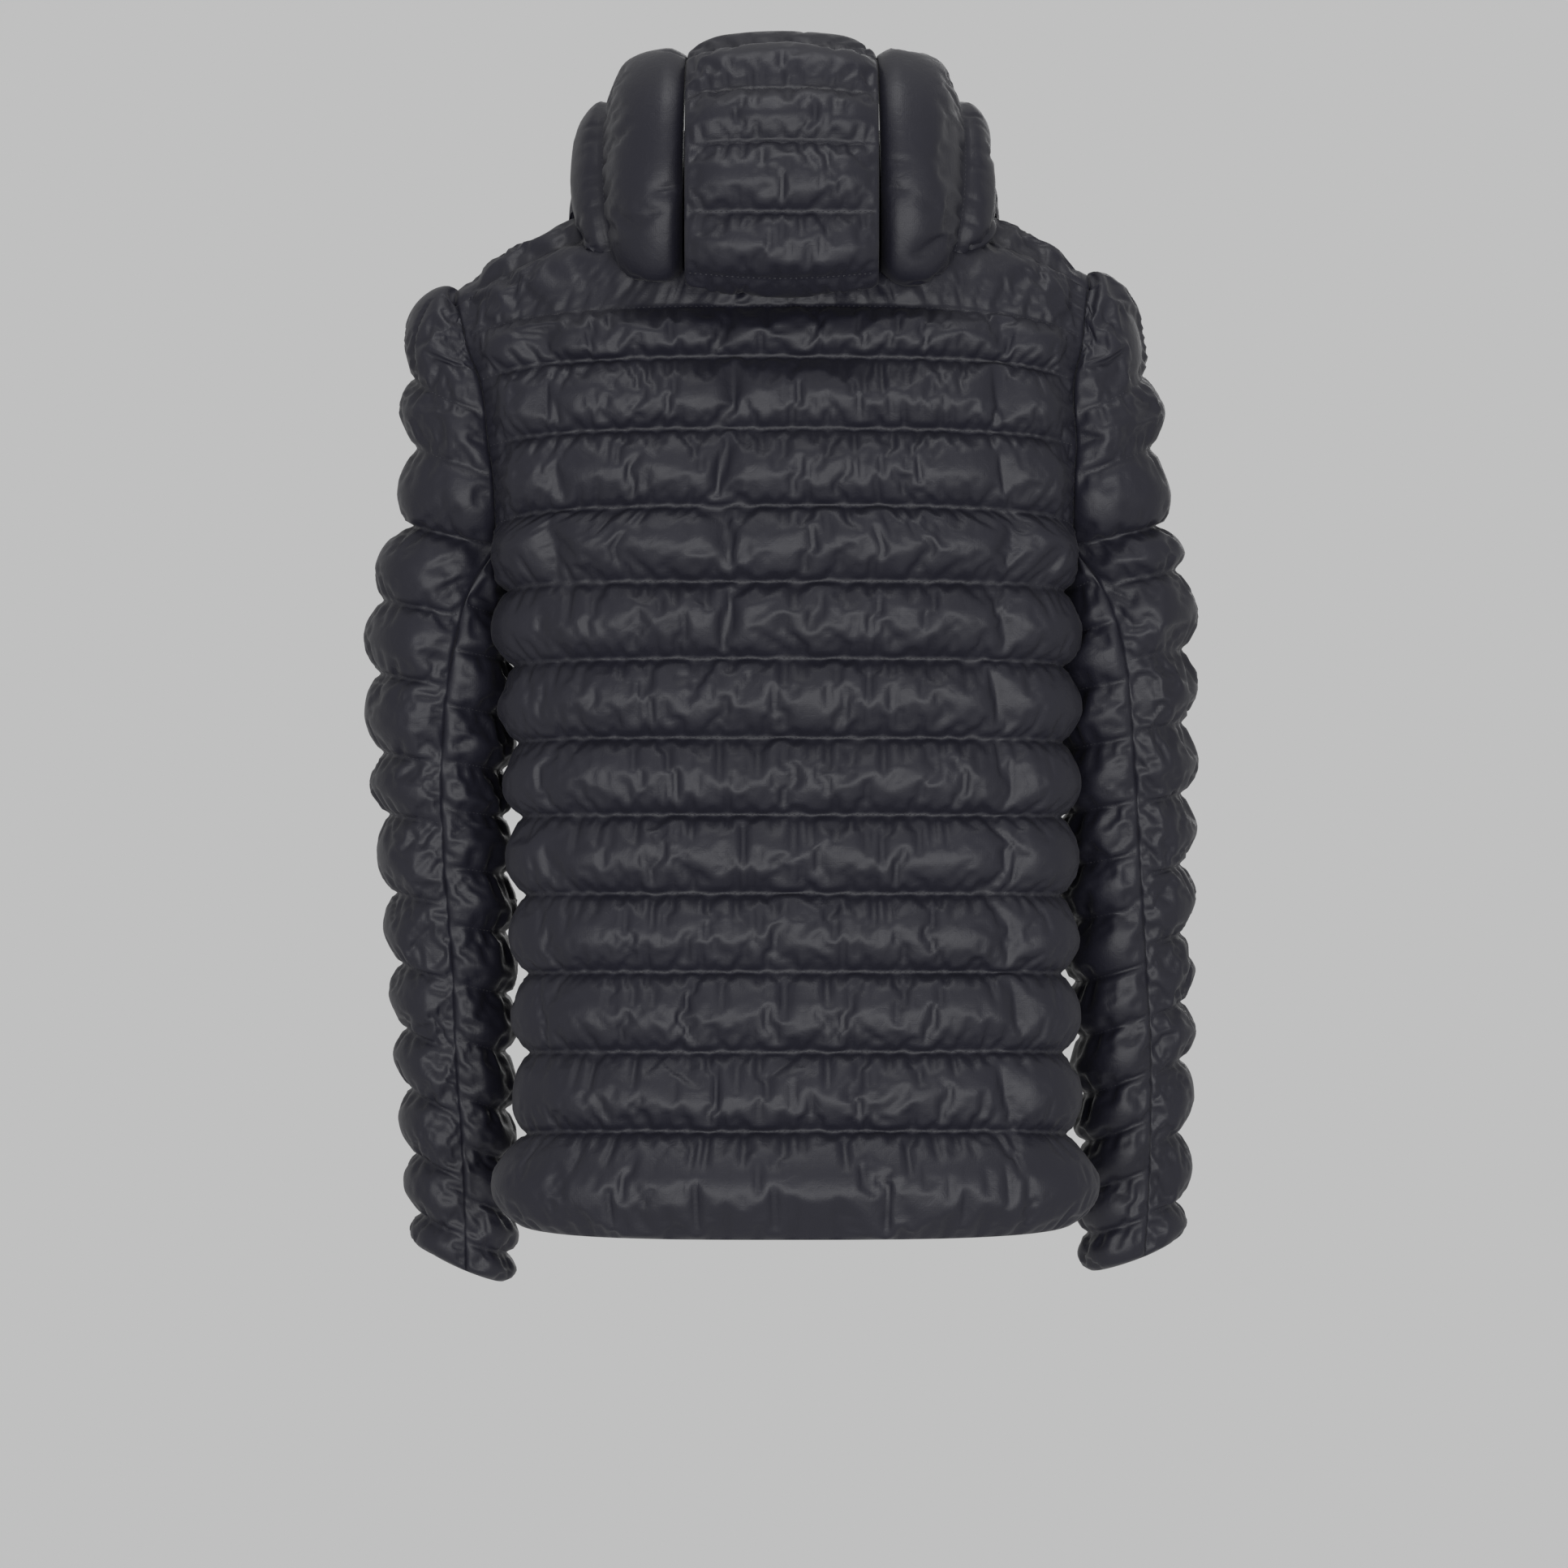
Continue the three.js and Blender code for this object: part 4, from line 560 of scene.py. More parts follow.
def grid_out(grid: np.ndarray, inside: np.ndarray) -> np.ndarray:
    """Outward directions of a grid.

    Args:
        grid: The points.
        inside: A point on the grid's inner side.

    Returns:
        A direction for each point.
    """
    across = np.gradient(grid, axis=1)
    along = np.gradient(grid, axis=0)
    normal = unit(np.cross(across, along))
    middle = (grid.shape[0] // 2, grid.shape[1] // 2)
    if normal[middle] @ (grid[middle] - inside) < 0:
        normal = -normal
    return normal


def nearest(points: np.ndarray, edge: np.ndarray) -> np.ndarray:
    """Distance from each point of a grid to the nearest of some edge points."""
    flat = points.reshape(-1, 3)
    best = np.full(len(flat), np.inf)
    for place in edge:
        best = np.minimum(best, np.linalg.norm(flat - place, axis=1))
    return best.reshape(points.shape[:-1])


def side_ease(grid: np.ndarray) -> np.ndarray:
    """Flattens rows into both ends of the grid's second axis."""
    first = np.linalg.norm(grid - grid[:, :1], axis=-1)
    last = np.linalg.norm(grid - grid[:, -1:], axis=-1)
    return ease(np.minimum(first, last), 32, 0.8)


def band_rows(bands: int, step_counts: list[int], start: float = 0) -> tuple[np.ndarray, list[int]]:
    """Places of a panel's rows, each stitch line among them.

    Args:
        bands: Number of quilt rows.
        step_counts: Steps in each of them.
        start: Place of the first line.

    Returns:
        The places, and the indexes of the stitch lines.
    """
    places: list[float] = []
    lines: list[int] = []
    for band in range(bands):
        lines.append(len(places))
        count = step_counts[band]
        places.extend(start + band + step / count for step in range(count))
    lines.append(len(places))
    places.append(start + bands)
    return np.array(places), lines


@dataclass
class BodyPanels:
    """The back and the two fronts."""

    torso: Torso
    pitch: float = 4.2
    body_loft: float = 12
    hem_loft: float = 14
    yoke_loft: float = 7

    def _loft(self, rows: np.ndarray) -> np.ndarray:
        """Loft of each row below the yoke line."""
        return np.where(rows < 1, self.hem_loft, self.body_loft)

    def _soften(self, grid: np.ndarray, edge: np.ndarray) -> np.ndarray:
        """Flattens rows into the armhole and where the arms lie against the sides."""
        soft = ease(nearest(grid, edge), 38, 1.6)
        press = 1 - 0.85 * np.exp(-(((grid[..., 1] - 4) / 50) ** 2))
        low = grid[..., 2] < self.torso.underarm_z + 38
        return soft * np.where(low, press, 1)

    def back(self) -> Sheet:
        """The quilted back with its yoke line and hem row.

        Returns:
            The back's sheet.
        """
        heights = np.diff(self.torso.line_centres)
        counts = [max(6, round(height / self.pitch)) for height in heights] + [16]
        rows, lines = band_rows(13, counts)
        columns = np.linspace(-1, 1, 115)
        base = self.torso.back(rows, columns)
        full = fullness(rows % 1)
        loft = np.where(rows > 12, self.yoke_loft, self._loft(rows))
        foot = rows >= self.torso.foot_band + 0.42
        edge = np.vstack([base[foot, 0], base[foot, -1]])[::2]
        rise = (loft * full)[:, None] * side_ease(base) * self._folds(base, rows)
        rise = rise * self._soften(base, edge)
        return Sheet("back", base, self.torso.outward(base), rise, lines, seed=11, pucker=1.7)

    def _folds(self, grid: np.ndarray, rows: np.ndarray) -> np.ndarray:
        """Upright folds that cross the back's rows, a little apart in each row."""
        folds = (
            dict(x=-158, half=13, share=0.34, top=11.6, bottom=1, lean=3),
            dict(x=-36, half=9, share=0.4, top=12.8, bottom=7, lean=-8),
            dict(x=147, half=12, share=0.42, top=11.8, bottom=1, lean=9),
        )
        random = np.random.default_rng(5)
        keep = np.ones(grid.shape[:2])
        for fold in folds:
            shift = random.normal(0, 4, 14)
            band = np.floor(rows).astype(int)
            place = fold["x"] + shift[band] - fold["lean"] * (rows % 1 - 0.5)
            depth = fold["share"] * random.uniform(0.55, 1.15, 14)[band]
            depth = np.where((rows < fold["top"]) & (rows > fold["bottom"]), depth, 0)
            offset = (grid[..., 0] - place[:, None]) / fold["half"]
            keep = keep * (1 - depth[:, None] * np.exp(-(offset**2)))
        return keep

    def front(self, side: Side) -> Sheet:
        """A quilted front, its top wrapped over the shoulder.

        Args:
            side: The wearer's side.

        Returns:
            The front's sheet.
        """
        heights = np.diff(self.torso.line_ends)[:10]
        counts = [max(5, round(height / 6)) for height in heights] + [12, 12, 12]
        rows, lines = band_rows(13, counts)
        columns = np.linspace(0, 1, 56)
        base = self.torso.front(side, rows, columns)
        fade = np.where(rows > 10, mix(1, 0.45, (rows - 10) / 3), 1)
        loft = self._loft(rows) * fade
        foot = rows >= self.torso.foot_band + 0.42
        rise = (loft * fullness(rows % 1))[:, None] * side_ease(base)
        rise = rise * self._soften(base, base[foot, -1][::2])
        name = f"front_{side.word}"
        return Sheet(name, base, self.torso.outward(base), rise, lines, seed=21 + side.value)


@dataclass
class Sleeve:
    """One two-piece sleeve, set into its armhole."""

    torso: Torso
    side: Side
    pitch: float = 4.2
    top_loft: float = 9
    under_loft: float = 7
    cap_foot_z: float = -200
    rings_from_z: float = -262
    foot_bow: float = 6
    crown_share: float = 0.35
    fold_place: float = 58
    fold_half: float = 16
    fold_share: float = 0.55
    fold_from_step: float = 7
    foot_ease: float = 38
    under_ease: float = 60
    front_seam: float = -98
    cap_reach: Table = field(default_factory=lambda: Table(
        "step",
        dict(step=2, out=5, lift=5, swell=0),
        dict(step=5, out=25, lift=9, swell=2),
        dict(step=8, out=43, lift=12, swell=4),
        dict(step=10, out=54, lift=19, swell=6),
        dict(step=13, out=65, lift=23, swell=9),
        dict(step=16, out=75, lift=16, swell=15),
    ))

    @property
    def rings(self) -> Table:
        """Rings of the sleeve: middle, half width, half depth, rise of the outer side, back seam."""
        if self.side is Side.LEFT:
            return Table(
                "z",
                dict(z=-150, x=226, half=48, y=-14, depth=72, tilt=24, seam=124),
                dict(z=-210, x=234, half=46, y=-9, depth=70, tilt=12, seam=122),
                dict(z=-270, x=240, half=45, y=-1, depth=68, tilt=9, seam=104),
                dict(z=-345, x=242.5, half=42, y=12, depth=64, tilt=8, seam=95),
                dict(z=-420, x=239, half=39, y=24, depth=60, tilt=6, seam=91),
                dict(z=-495, x=236, half=37, y=35, depth=55, tilt=10, seam=94),
                dict(z=-558, x=235, half=34.5, y=43, depth=51, tilt=15, seam=95),
                dict(z=-615, x=233, half=32.5, y=50, depth=46, tilt=16, seam=98),
                dict(z=-672, x=230.5, half=31, y=57, depth=41, tilt=14, seam=96),
                dict(z=-712, x=230, half=28, y=62, depth=37, tilt=12, seam=96),
            )
        return Table(
            "z",
            dict(z=-150, x=222, half=48, y=-14, depth=72, tilt=24, seam=118),
            dict(z=-210, x=231, half=46, y=-9, depth=70, tilt=12, seam=114),
            dict(z=-270, x=236, half=45, y=-1, depth=68, tilt=10, seam=91),
            dict(z=-345, x=240, half=42, y=12, depth=64, tilt=9, seam=84),
            dict(z=-420, x=243, half=39, y=24, depth=60, tilt=9, seam=80),
            dict(z=-495, x=246, half=37, y=35, depth=55, tilt=12, seam=75),
            dict(z=-558, x=249, half=34.5, y=43, depth=51, tilt=15, seam=72),
            dict(z=-615, x=250, half=32.5, y=50, depth=46, tilt=15, seam=71),
            dict(z=-672, x=250, half=31, y=57, depth=41, tilt=12, seam=72),
            dict(z=-706, x=249, half=28, y=61, depth=37, tilt=10, seam=72),
        )

    @property
    def top_lines(self) -> tuple[float, ...]:
        """Heights of the top panel's stitch lines at the back seam."""
        if self.side is Side.LEFT:
            return (-200, -247, -296, -351, -393, -450, -504, -554.6, -599, -645, -687, -712)
        return (-200, -228, -280, -331, -381, -432, -483, -535, -578, -629, -676, -706)

    @property
    def under_lines(self) -> tuple[float, ...]:
        """Heights of the under panel's stitch lines at the back seam."""
        if self.side is Side.LEFT:
            return (
                -200, -239, -270, -309, -348, -382, -423, -463.5,
                -504.6, -543, -583.5, -619, -658, -690, -712,
            )
        return (
            -200, -222, -252.6, -293, -333, -378, -415, -453,
            -495, -532.6, -572.6, -607, -643, -677, -706,
        )

    def ring(self, z: np.ndarray, angle: np.ndarray) -> np.ndarray:
        """Points of the rings at heights and angles."""
        rings = self.rings
        x = rings.read("x", z) + rings.read("half", z) * np.cos(angle)
        y = rings.read("y", z) - rings.read("depth", z) * np.sin(angle)
        return np.stack([self.side.value * x, y, z + rings.read("tilt", z) * np.cos(angle)], axis=-1)

    def armhole(self, step: np.ndarray, front: bool) -> np.ndarray:
        """Points of the armhole.

        Args:
            step: Places down from the shoulder seam, 12 at the round foot's top and 18 underneath.
            front: Whether they lie on the front.

        Returns:
            The points.
        """
        foot = self.torso.foot_band + np.interp(
            18 - step, np.arange(7), [0.42, 0.62, 0.82, 1, 4 / 3, 5 / 3, 2])
        row = np.where(step <= 12, 13 - step / 4, foot)
        places = np.unique(np.append(row, [10.0, 12.0]))
        chosen = np.searchsorted(places, row)
        if front:
            columns = np.linspace(0, 1, 12)
            return self.torso.front(self.side, places, columns)[chosen, -1]
        return self.torso.back(places, np.array([self.side.value * 1.0]))[chosen, 0]

    def _cap(self, steps: np.ndarray, columns: np.ndarray) -> np.ndarray:
        """Rows over the cap, from the armhole's back round to its front."""
        swing = np.pi * columns
        bow = np.sin(swing)
        start = self.armhole(np.maximum(steps, 3), False)[:, None]
        end = self.armhole(np.maximum(steps, 3), True)[:, None]
        low = np.maximum(steps, 3)
        reach = {name: self.cap_reach.read(name, low) for name in ("out", "lift", "swell")}
        grid = mix(start, end, ((1 - np.cos(swing)) / 2)[None, :, None])
        grid = grid + np.stack([
            self.side.value * reach["out"][:, None] * bow[None] ** 0.9,
            -reach["swell"][:, None] * np.sin(2 * swing)[None],
            reach["lift"][:, None] * bow[None],
        ], axis=-1)
        crown_step = 2 * np.abs(2 * columns - 1)
        crown = np.where(
            (columns <= 0.5)[:, None], self.armhole(crown_step, False), self.armhole(crown_step, True))
        early = np.clip(steps - 2, 0, 1)[:, None, None]
        return mix(crown[None], grid, early)

    def _levels(self, lines: tuple[float, ...], pitch: float) -> tuple[np.ndarray, np.ndarray, list[int]]:
        """Heights of rows from line to line, how full they stand, and which are stitch lines."""
        heights, full, marks = [], [], []
        for upper, lower in zip(lines, lines[1:]):
            count = max(4, round((upper - lower) / pitch))
            for part in range(1, count + 1):
                heights.append(mix(upper, lower, part / count))
                full.append(float(fullness(np.float64(1 - part / count))))
            marks.append(len(heights) - 1)
        return np.array(heights), np.array(full), marks

    def _below(self, foot: np.ndarray, heights: np.ndarray, end: float) -> np.ndarray:
        """Rows below the armhole's foot, from the back seam round to an end angle."""
        ring_z = np.minimum(heights, self.rings_from_z)
        seam = np.radians(self.rings.read("seam", ring_z))
        angles = mix(seam[:, None], end, np.linspace(0, 1, len(foot))[None])
        rings = self.ring(ring_z[:, None], angles)
        share = np.clip((self.cap_foot_z - heights) / (self.cap_foot_z - self.rings_from_z), 0, 1)
        grid = mix(foot[None], rings, share[:, None, None])
        grid[..., 0] += (self.side.value * self.foot_bow * np.sin(np.pi * share))[:, None]
        return grid

    def top(self) -> Sheet:
        """The upper panel, from the cap down to the cuff.

        Returns:
            Its sheet.
        """
        columns = np.linspace(0, 1, 46)
        cap_steps, cap_full, lines = [2.0], [0.0], [0]
        for upper, lower, count in ((2, 10, 18), (10, 13, 11), (13, 16, 9)):
            for part in range(1, count + 1):
                cap_steps.append(mix(upper, lower, part / count))
                cap_full.append(float(fullness(np.float64(1 - part / count))))
            lines.append(len(cap_steps) - 1)
        steps = np.array(cap_steps)
        cap = self._cap(steps, columns)
        heights, full, marks = self._levels(self.top_lines, self.pitch)
        below = self._below(cap[-1], heights, math.radians(self.front_seam))
        base = np.concatenate([cap, below])
        lines = lines + [len(cap_steps) + mark for mark in marks]
        out = grid_out(base, np.array([self.side.value * 200, 20, -400]))
        fold_angle = (90 - 180 * columns - self.fold_place) / self.fold_half
        folded = 1 - self.fold_share * np.exp(-(fold_angle**2))
        in_fold = (steps >= self.fold_from_step)[:, None]
        rise = self.top_loft * np.concatenate([cap_full, full])[:, None] * side_ease(base)
        rise[: len(steps)] *= np.where(in_fold, folded[None], 1)
        rise[: len(steps)] *= np.interp(steps, (2, 9), (self.crown_share, 1))[:, None]
        feet = cap[-1][[0, -1]]
        rise[len(steps):] *= ease(nearest(base[len(steps):], feet), self.foot_ease, 1.5)
        name = f"sleeve_top_{self.side.word}"
        return Sheet(name, base, out, rise, lines, seed=31 + self.side.value)

    def under(self) -> Sheet:
        """The under panel, from the armhole's foot down to the cuff.

        Returns:
            Its sheet.
        """
        columns = np.linspace(0, 1, 26)
        step = 18 - 2 * np.abs(2 * columns - 1)
        foot = np.where(
            (columns <= 0.5)[:, None], self.armhole(step, False), self.armhole(step, True))
        heights, full, marks = self._levels(self.under_lines, self.pitch)
        end = 2 * math.pi + math.radians(self.front_seam)
        base = np.concatenate([foot[None], self._below(foot, heights, end)])
        out = grid_out(base, np.array([self.side.value * 240, 30, -400]))
        rise = self.under_loft * np.concatenate([[0.0], full])[:, None] * side_ease(base)
        rise = rise * ease(nearest(base, foot), self.under_ease, 1.5)
        name = f"sleeve_under_{self.side.word}"
        return Sheet(name, base, out, rise, [0] + [mark + 1 for mark in marks], seed=41 + self.side.value)


@dataclass
class Hood:
    """The three-panel hood lying on the shoulders, and the stand inside its foot."""

    torso: Torso
    profile_points: tuple[tuple[float, float, float], ...] = (
        (0, -106, 18), (0, -120, -6), (0, -141, -26), (0, -161, -20), (0, -173, 12), (0, -172, 56),
        (0, -156, 96), (0, -120, 126), (0, -68, 137), (0, -10, 137), (0, 36, 129),
    )
    face_points: tuple[tuple[float, float, float], ...] = ((44, 106, 2), (84, 88, 52), (88, 60, 102))
    lines: tuple[float, ...] = (0, 0.193, 0.297, 0.41, 0.51, 0.645, 0.8, 1)
    side_lines: tuple[float, ...] = (1, 0.78, 0.58, 0.4, 0.24, 0.08)
    seam_left: float = 67
    seam_right: float = 64
    bulge_out: float = 58
    bulge_back: float = 16
    bulge_down: float = 22
    dome: float = 6
    loft: float = 10
    pucker: float = 1.4
    pitch: float = 4.2
    chin_share: float = 0.06
    foot_out: float = 3.4
    foot_up: float = 1.2
    least_rest: float = 0.6
    most_rest: float = 10
    collar_front: float = 62
    collar_back: float = 40
    collar_inset: float = 6.5
    collar_wall: float = 3
    collar_lean: float = 4
    collar_start: float = 0.009

    def __post_init__(self) -> None:
        """Trace the hood's profile and the neck seam."""
        self.profile = Curve(self.profile_points)
        self.neck = {side: self._neck(side) for side in Side}

    def _neck(self, side: Side) -> Curve:
        """The neck seam, from the centre front round one side to the centre back."""
        front = self.torso.front(side, np.array([10.0, 13.0]), np.arange(6) / 11)[1]
        columns = side.value * np.arange(4, -1, -1) / 9
        back = self.torso.back(np.array([12.0, 13.0]), columns)[1]
        return Curve(np.vstack([front, back]))

    def seam_half(self, side: Side) -> float:
        """Half width of the centre strip."""
        return self.seam_left if side is Side.LEFT else self.seam_right

    def beside_neck(self, side: Side, share: np.ndarray, out: np.ndarray, up: np.ndarray) -> np.ndarray:
        """Points beside the neck seam.

        Args:
            side: The wearer's side.
            share: Shares of the seam from the centre front.
            out: Distance out from the neck's middle.
            up: Distance up.

        Returns:
            The points.
        """
        points = self.neck[side].at(np.clip(share, 0, 1))
        reach = np.hypot(points[..., 0], points[..., 1])
        factor = 1 + out / reach
        return np.stack([points[..., 0] * factor, points[..., 1] * factor, points[..., 2] + up], axis=-1)

    def _profile(self, share: np.ndarray) -> tuple[np.ndarray, np.ndarray]:
        """Points of the centre profile and their outward directions."""
        points = self.profile.at(share)
        along = self.profile.along(share)
        out = np.stack([0 * share, -along[..., 2], along[..., 1]], axis=-1)
        return points, unit(out)

    def _shoulder(self, points: np.ndarray) -> np.ndarray:
        """Height of the shoulders under some points, far below where there are none."""
        x, y = points[..., 0], points[..., 1]
        torso = self.torso
        level = np.zeros_like(x)
        half = torso.both(torso.sections, level, x)
        depth = np.where(y < torso.middle_y, torso.depth("back", level), torso.depth("front", level))
        across = np.maximum(0, 1 - np.minimum(1, np.abs(x) / half) ** (2 / torso.boxiness))
        depth = np.maximum(depth * across ** (torso.boxiness / 2), 1e-6)
        share = np.abs(y - torso.middle_y) / depth
        climb = (1 - np.minimum(1, share) ** torso.over_depth) ** (1 / torso.over_rise)
        height = torso.chest_z + (torso.ridge(x) - torso.chest_z) * climb
        return np.where((share >= 1) | (depth < 1), -1000.0, height)

    def rested(self, points: np.ndarray, thickness: float) -> np.ndarray:
        """Moves points out until they clear the shoulders."""
        ring = np.vstack([self.neck[side].at(np.linspace(0, 1, 25)) for side in Side])
        seam = nearest(points, ring)
        gap = np.minimum(self.most_rest, self.least_rest + seam * 0.8) + thickness
        low = np.stack([points[..., 0], points[..., 1], self._shoulder(points)], axis=-1)
        out = self.torso.outward(low)
        clear = (points[..., 2] - low[..., 2]) * np.maximum(out[..., 2], 0.35)
        return points + out * np.maximum(0, gap - clear)[..., None]

    def _sheet(
        self, name: str, base: np.ndarray, out: np.ndarray, rise: np.ndarray, lines: list[int],
        seed: int,
    ) -> Sheet:
        """A sheet whose outer face clears the shoulders."""
        wall = Sheet.wall
        outer = self.rested(base + out * rise[..., None], 0)
        inner = self.rested(base - out * wall, wall)
        lift = np.linalg.norm(outer - inner, axis=-1)
        away = unit(outer - inner)
        return Sheet(name, inner + away * wall, away, lift - wall, lines, seed=seed, pucker=self.pucker)

    def centre(self) -> Sheet:
        """The centre strip, from the neck seam up and over to the face.

        Returns:
            Its sheet.
        """
        counts = [
            max(5, round(span * self.profile.length / self.pitch))
            for span in np.diff(self.lines)
        ]
        places, marks = band_rows(len(counts), counts)
        share = np.interp(places, np.arange(len(self.lines)), self.lines)
        columns = np.linspace(0, 1, 33)
        points, out = self._profile(share)
        x = mix(-self.seam_left, self.seam_right, columns)
        base = points[:, None] + np.stack([x, 0 * x, 0 * x], axis=-1)[None]
        base = base + out[:, None] * (self.dome * np.sin(np.pi * columns))[None, :, None]
        lean = np.stack([(columns - 0.5) * 0.9, 0 * columns, 0 * columns], axis=-1)
        outs = unit(out[:, None] + lean[None])
        loft = np.where(places < 1, self.loft * 0.3, self.loft)
        rise = (loft * fullness(places % 1))[:, None] * side_ease(base)
        return self._sheet("hood_centre", base, outs, rise, marks, 51)

    def _seam_share(self, side: Side) -> float:
        """Where the centre strip's seam meets the neck seam."""
        tries = np.linspace(0.505, 1, 200)
        miss = np.abs(np.abs(self.neck[side].at(tries)[:, 0]) - self.seam_half(side))
        return float(tries[np.argmin(miss)])

    def side(self, side: Side) -> Sheet:
        """A curved side panel, from the centre seam forward to the face opening.

        Args:
            side: The wearer's side.

        Returns:
            Its sheet.
        """
        half, sign = self.seam_half(side), side.value
        places, marks = band_rows(5, [11, 10, 9, 8, 8])
        radius = np.interp(places, np.arange(6), self.side_lines)
        swing = np.linspace(0, 1, 90)
        along_neck = mix(self.chin_share, self._seam_share(side), radius)
        foot = self.beside_neck(side, along_neck, self.foot_out, self.foot_up)
        chin = self.beside_neck(side, np.array([self.chin_share]), self.foot_out, self.foot_up)[0]
        start, _ = self._profile(np.array([0.0]))
        end, _ = self._profile(np.array([1.0]))
        edge = [[sign * x, y, z] for x, y, z in self.face_points]
        face = Curve([chin, *edge, [sign * half, end[0, 1], end[0, 2]]])
        front = face.at(radius)
        seam, _ = self._profile(swing)
        chord = mix(start, end, swing[:, None])
        patch = mix(foot[:, None], front[:, None], swing[None, :, None])
        across = np.sin(np.pi * radius)[:, None] ** 0.8
        bow = np.sin(np.pi * swing[None] ** 0.8) ** 0.8 * across
        low = np.sin(np.pi * np.minimum(1, swing[None] / 0.5)) * across
        base = patch + radius[:, None, None] * (seam - chord)[None]
        base = base + np.stack([
            sign * self.bulge_out * bow, -self.bulge_back * low, -self.bulge_down * low,
        ], axis=-1)
        out = grid_out(base, np.array([0, -20, 40]))
        full = fullness(places % 1) * np.where(places > 4, 0.8, 1)
        rise = (self.loft * full)[:, None] * side_ease(base)
        return self._sheet(f"hood_side_{side.word}", base, out, rise, marks, 61 + sign)

    def collar(self) -> Sheet:
        """The stand inside the hood's foot, open at the zip.

        Returns:
            Its sheet.
        """
        rows, marks = band_rows(2, [7, 7])
        climb = (rows / 2)[:, None]
        halves = []
        for side in Side:
            share = mix(self.collar_start, 1, np.linspace(0, 1, 45))[None]
            height = mix(self.collar_front, self.collar_back, share)
            points = self.beside_neck(
                side, share + 0 * climb, -self.collar_inset - self.collar_lean * climb, 1 + height * climb)
            halves.append(points)
        base = np.concatenate([halves[0], halves[1][:, -2::-1]], axis=1)
        out = np.stack([base[..., 0], base[..., 1], 0 * base[..., 0]], axis=-1)
        rise = 3 * fullness(rows % 1)[:, None] * np.ones(base.shape[1])[None]
        return Sheet(
            "collar", base, unit(out), rise, marks, wall=self.collar_wall, seed=71, pucker=0.8)


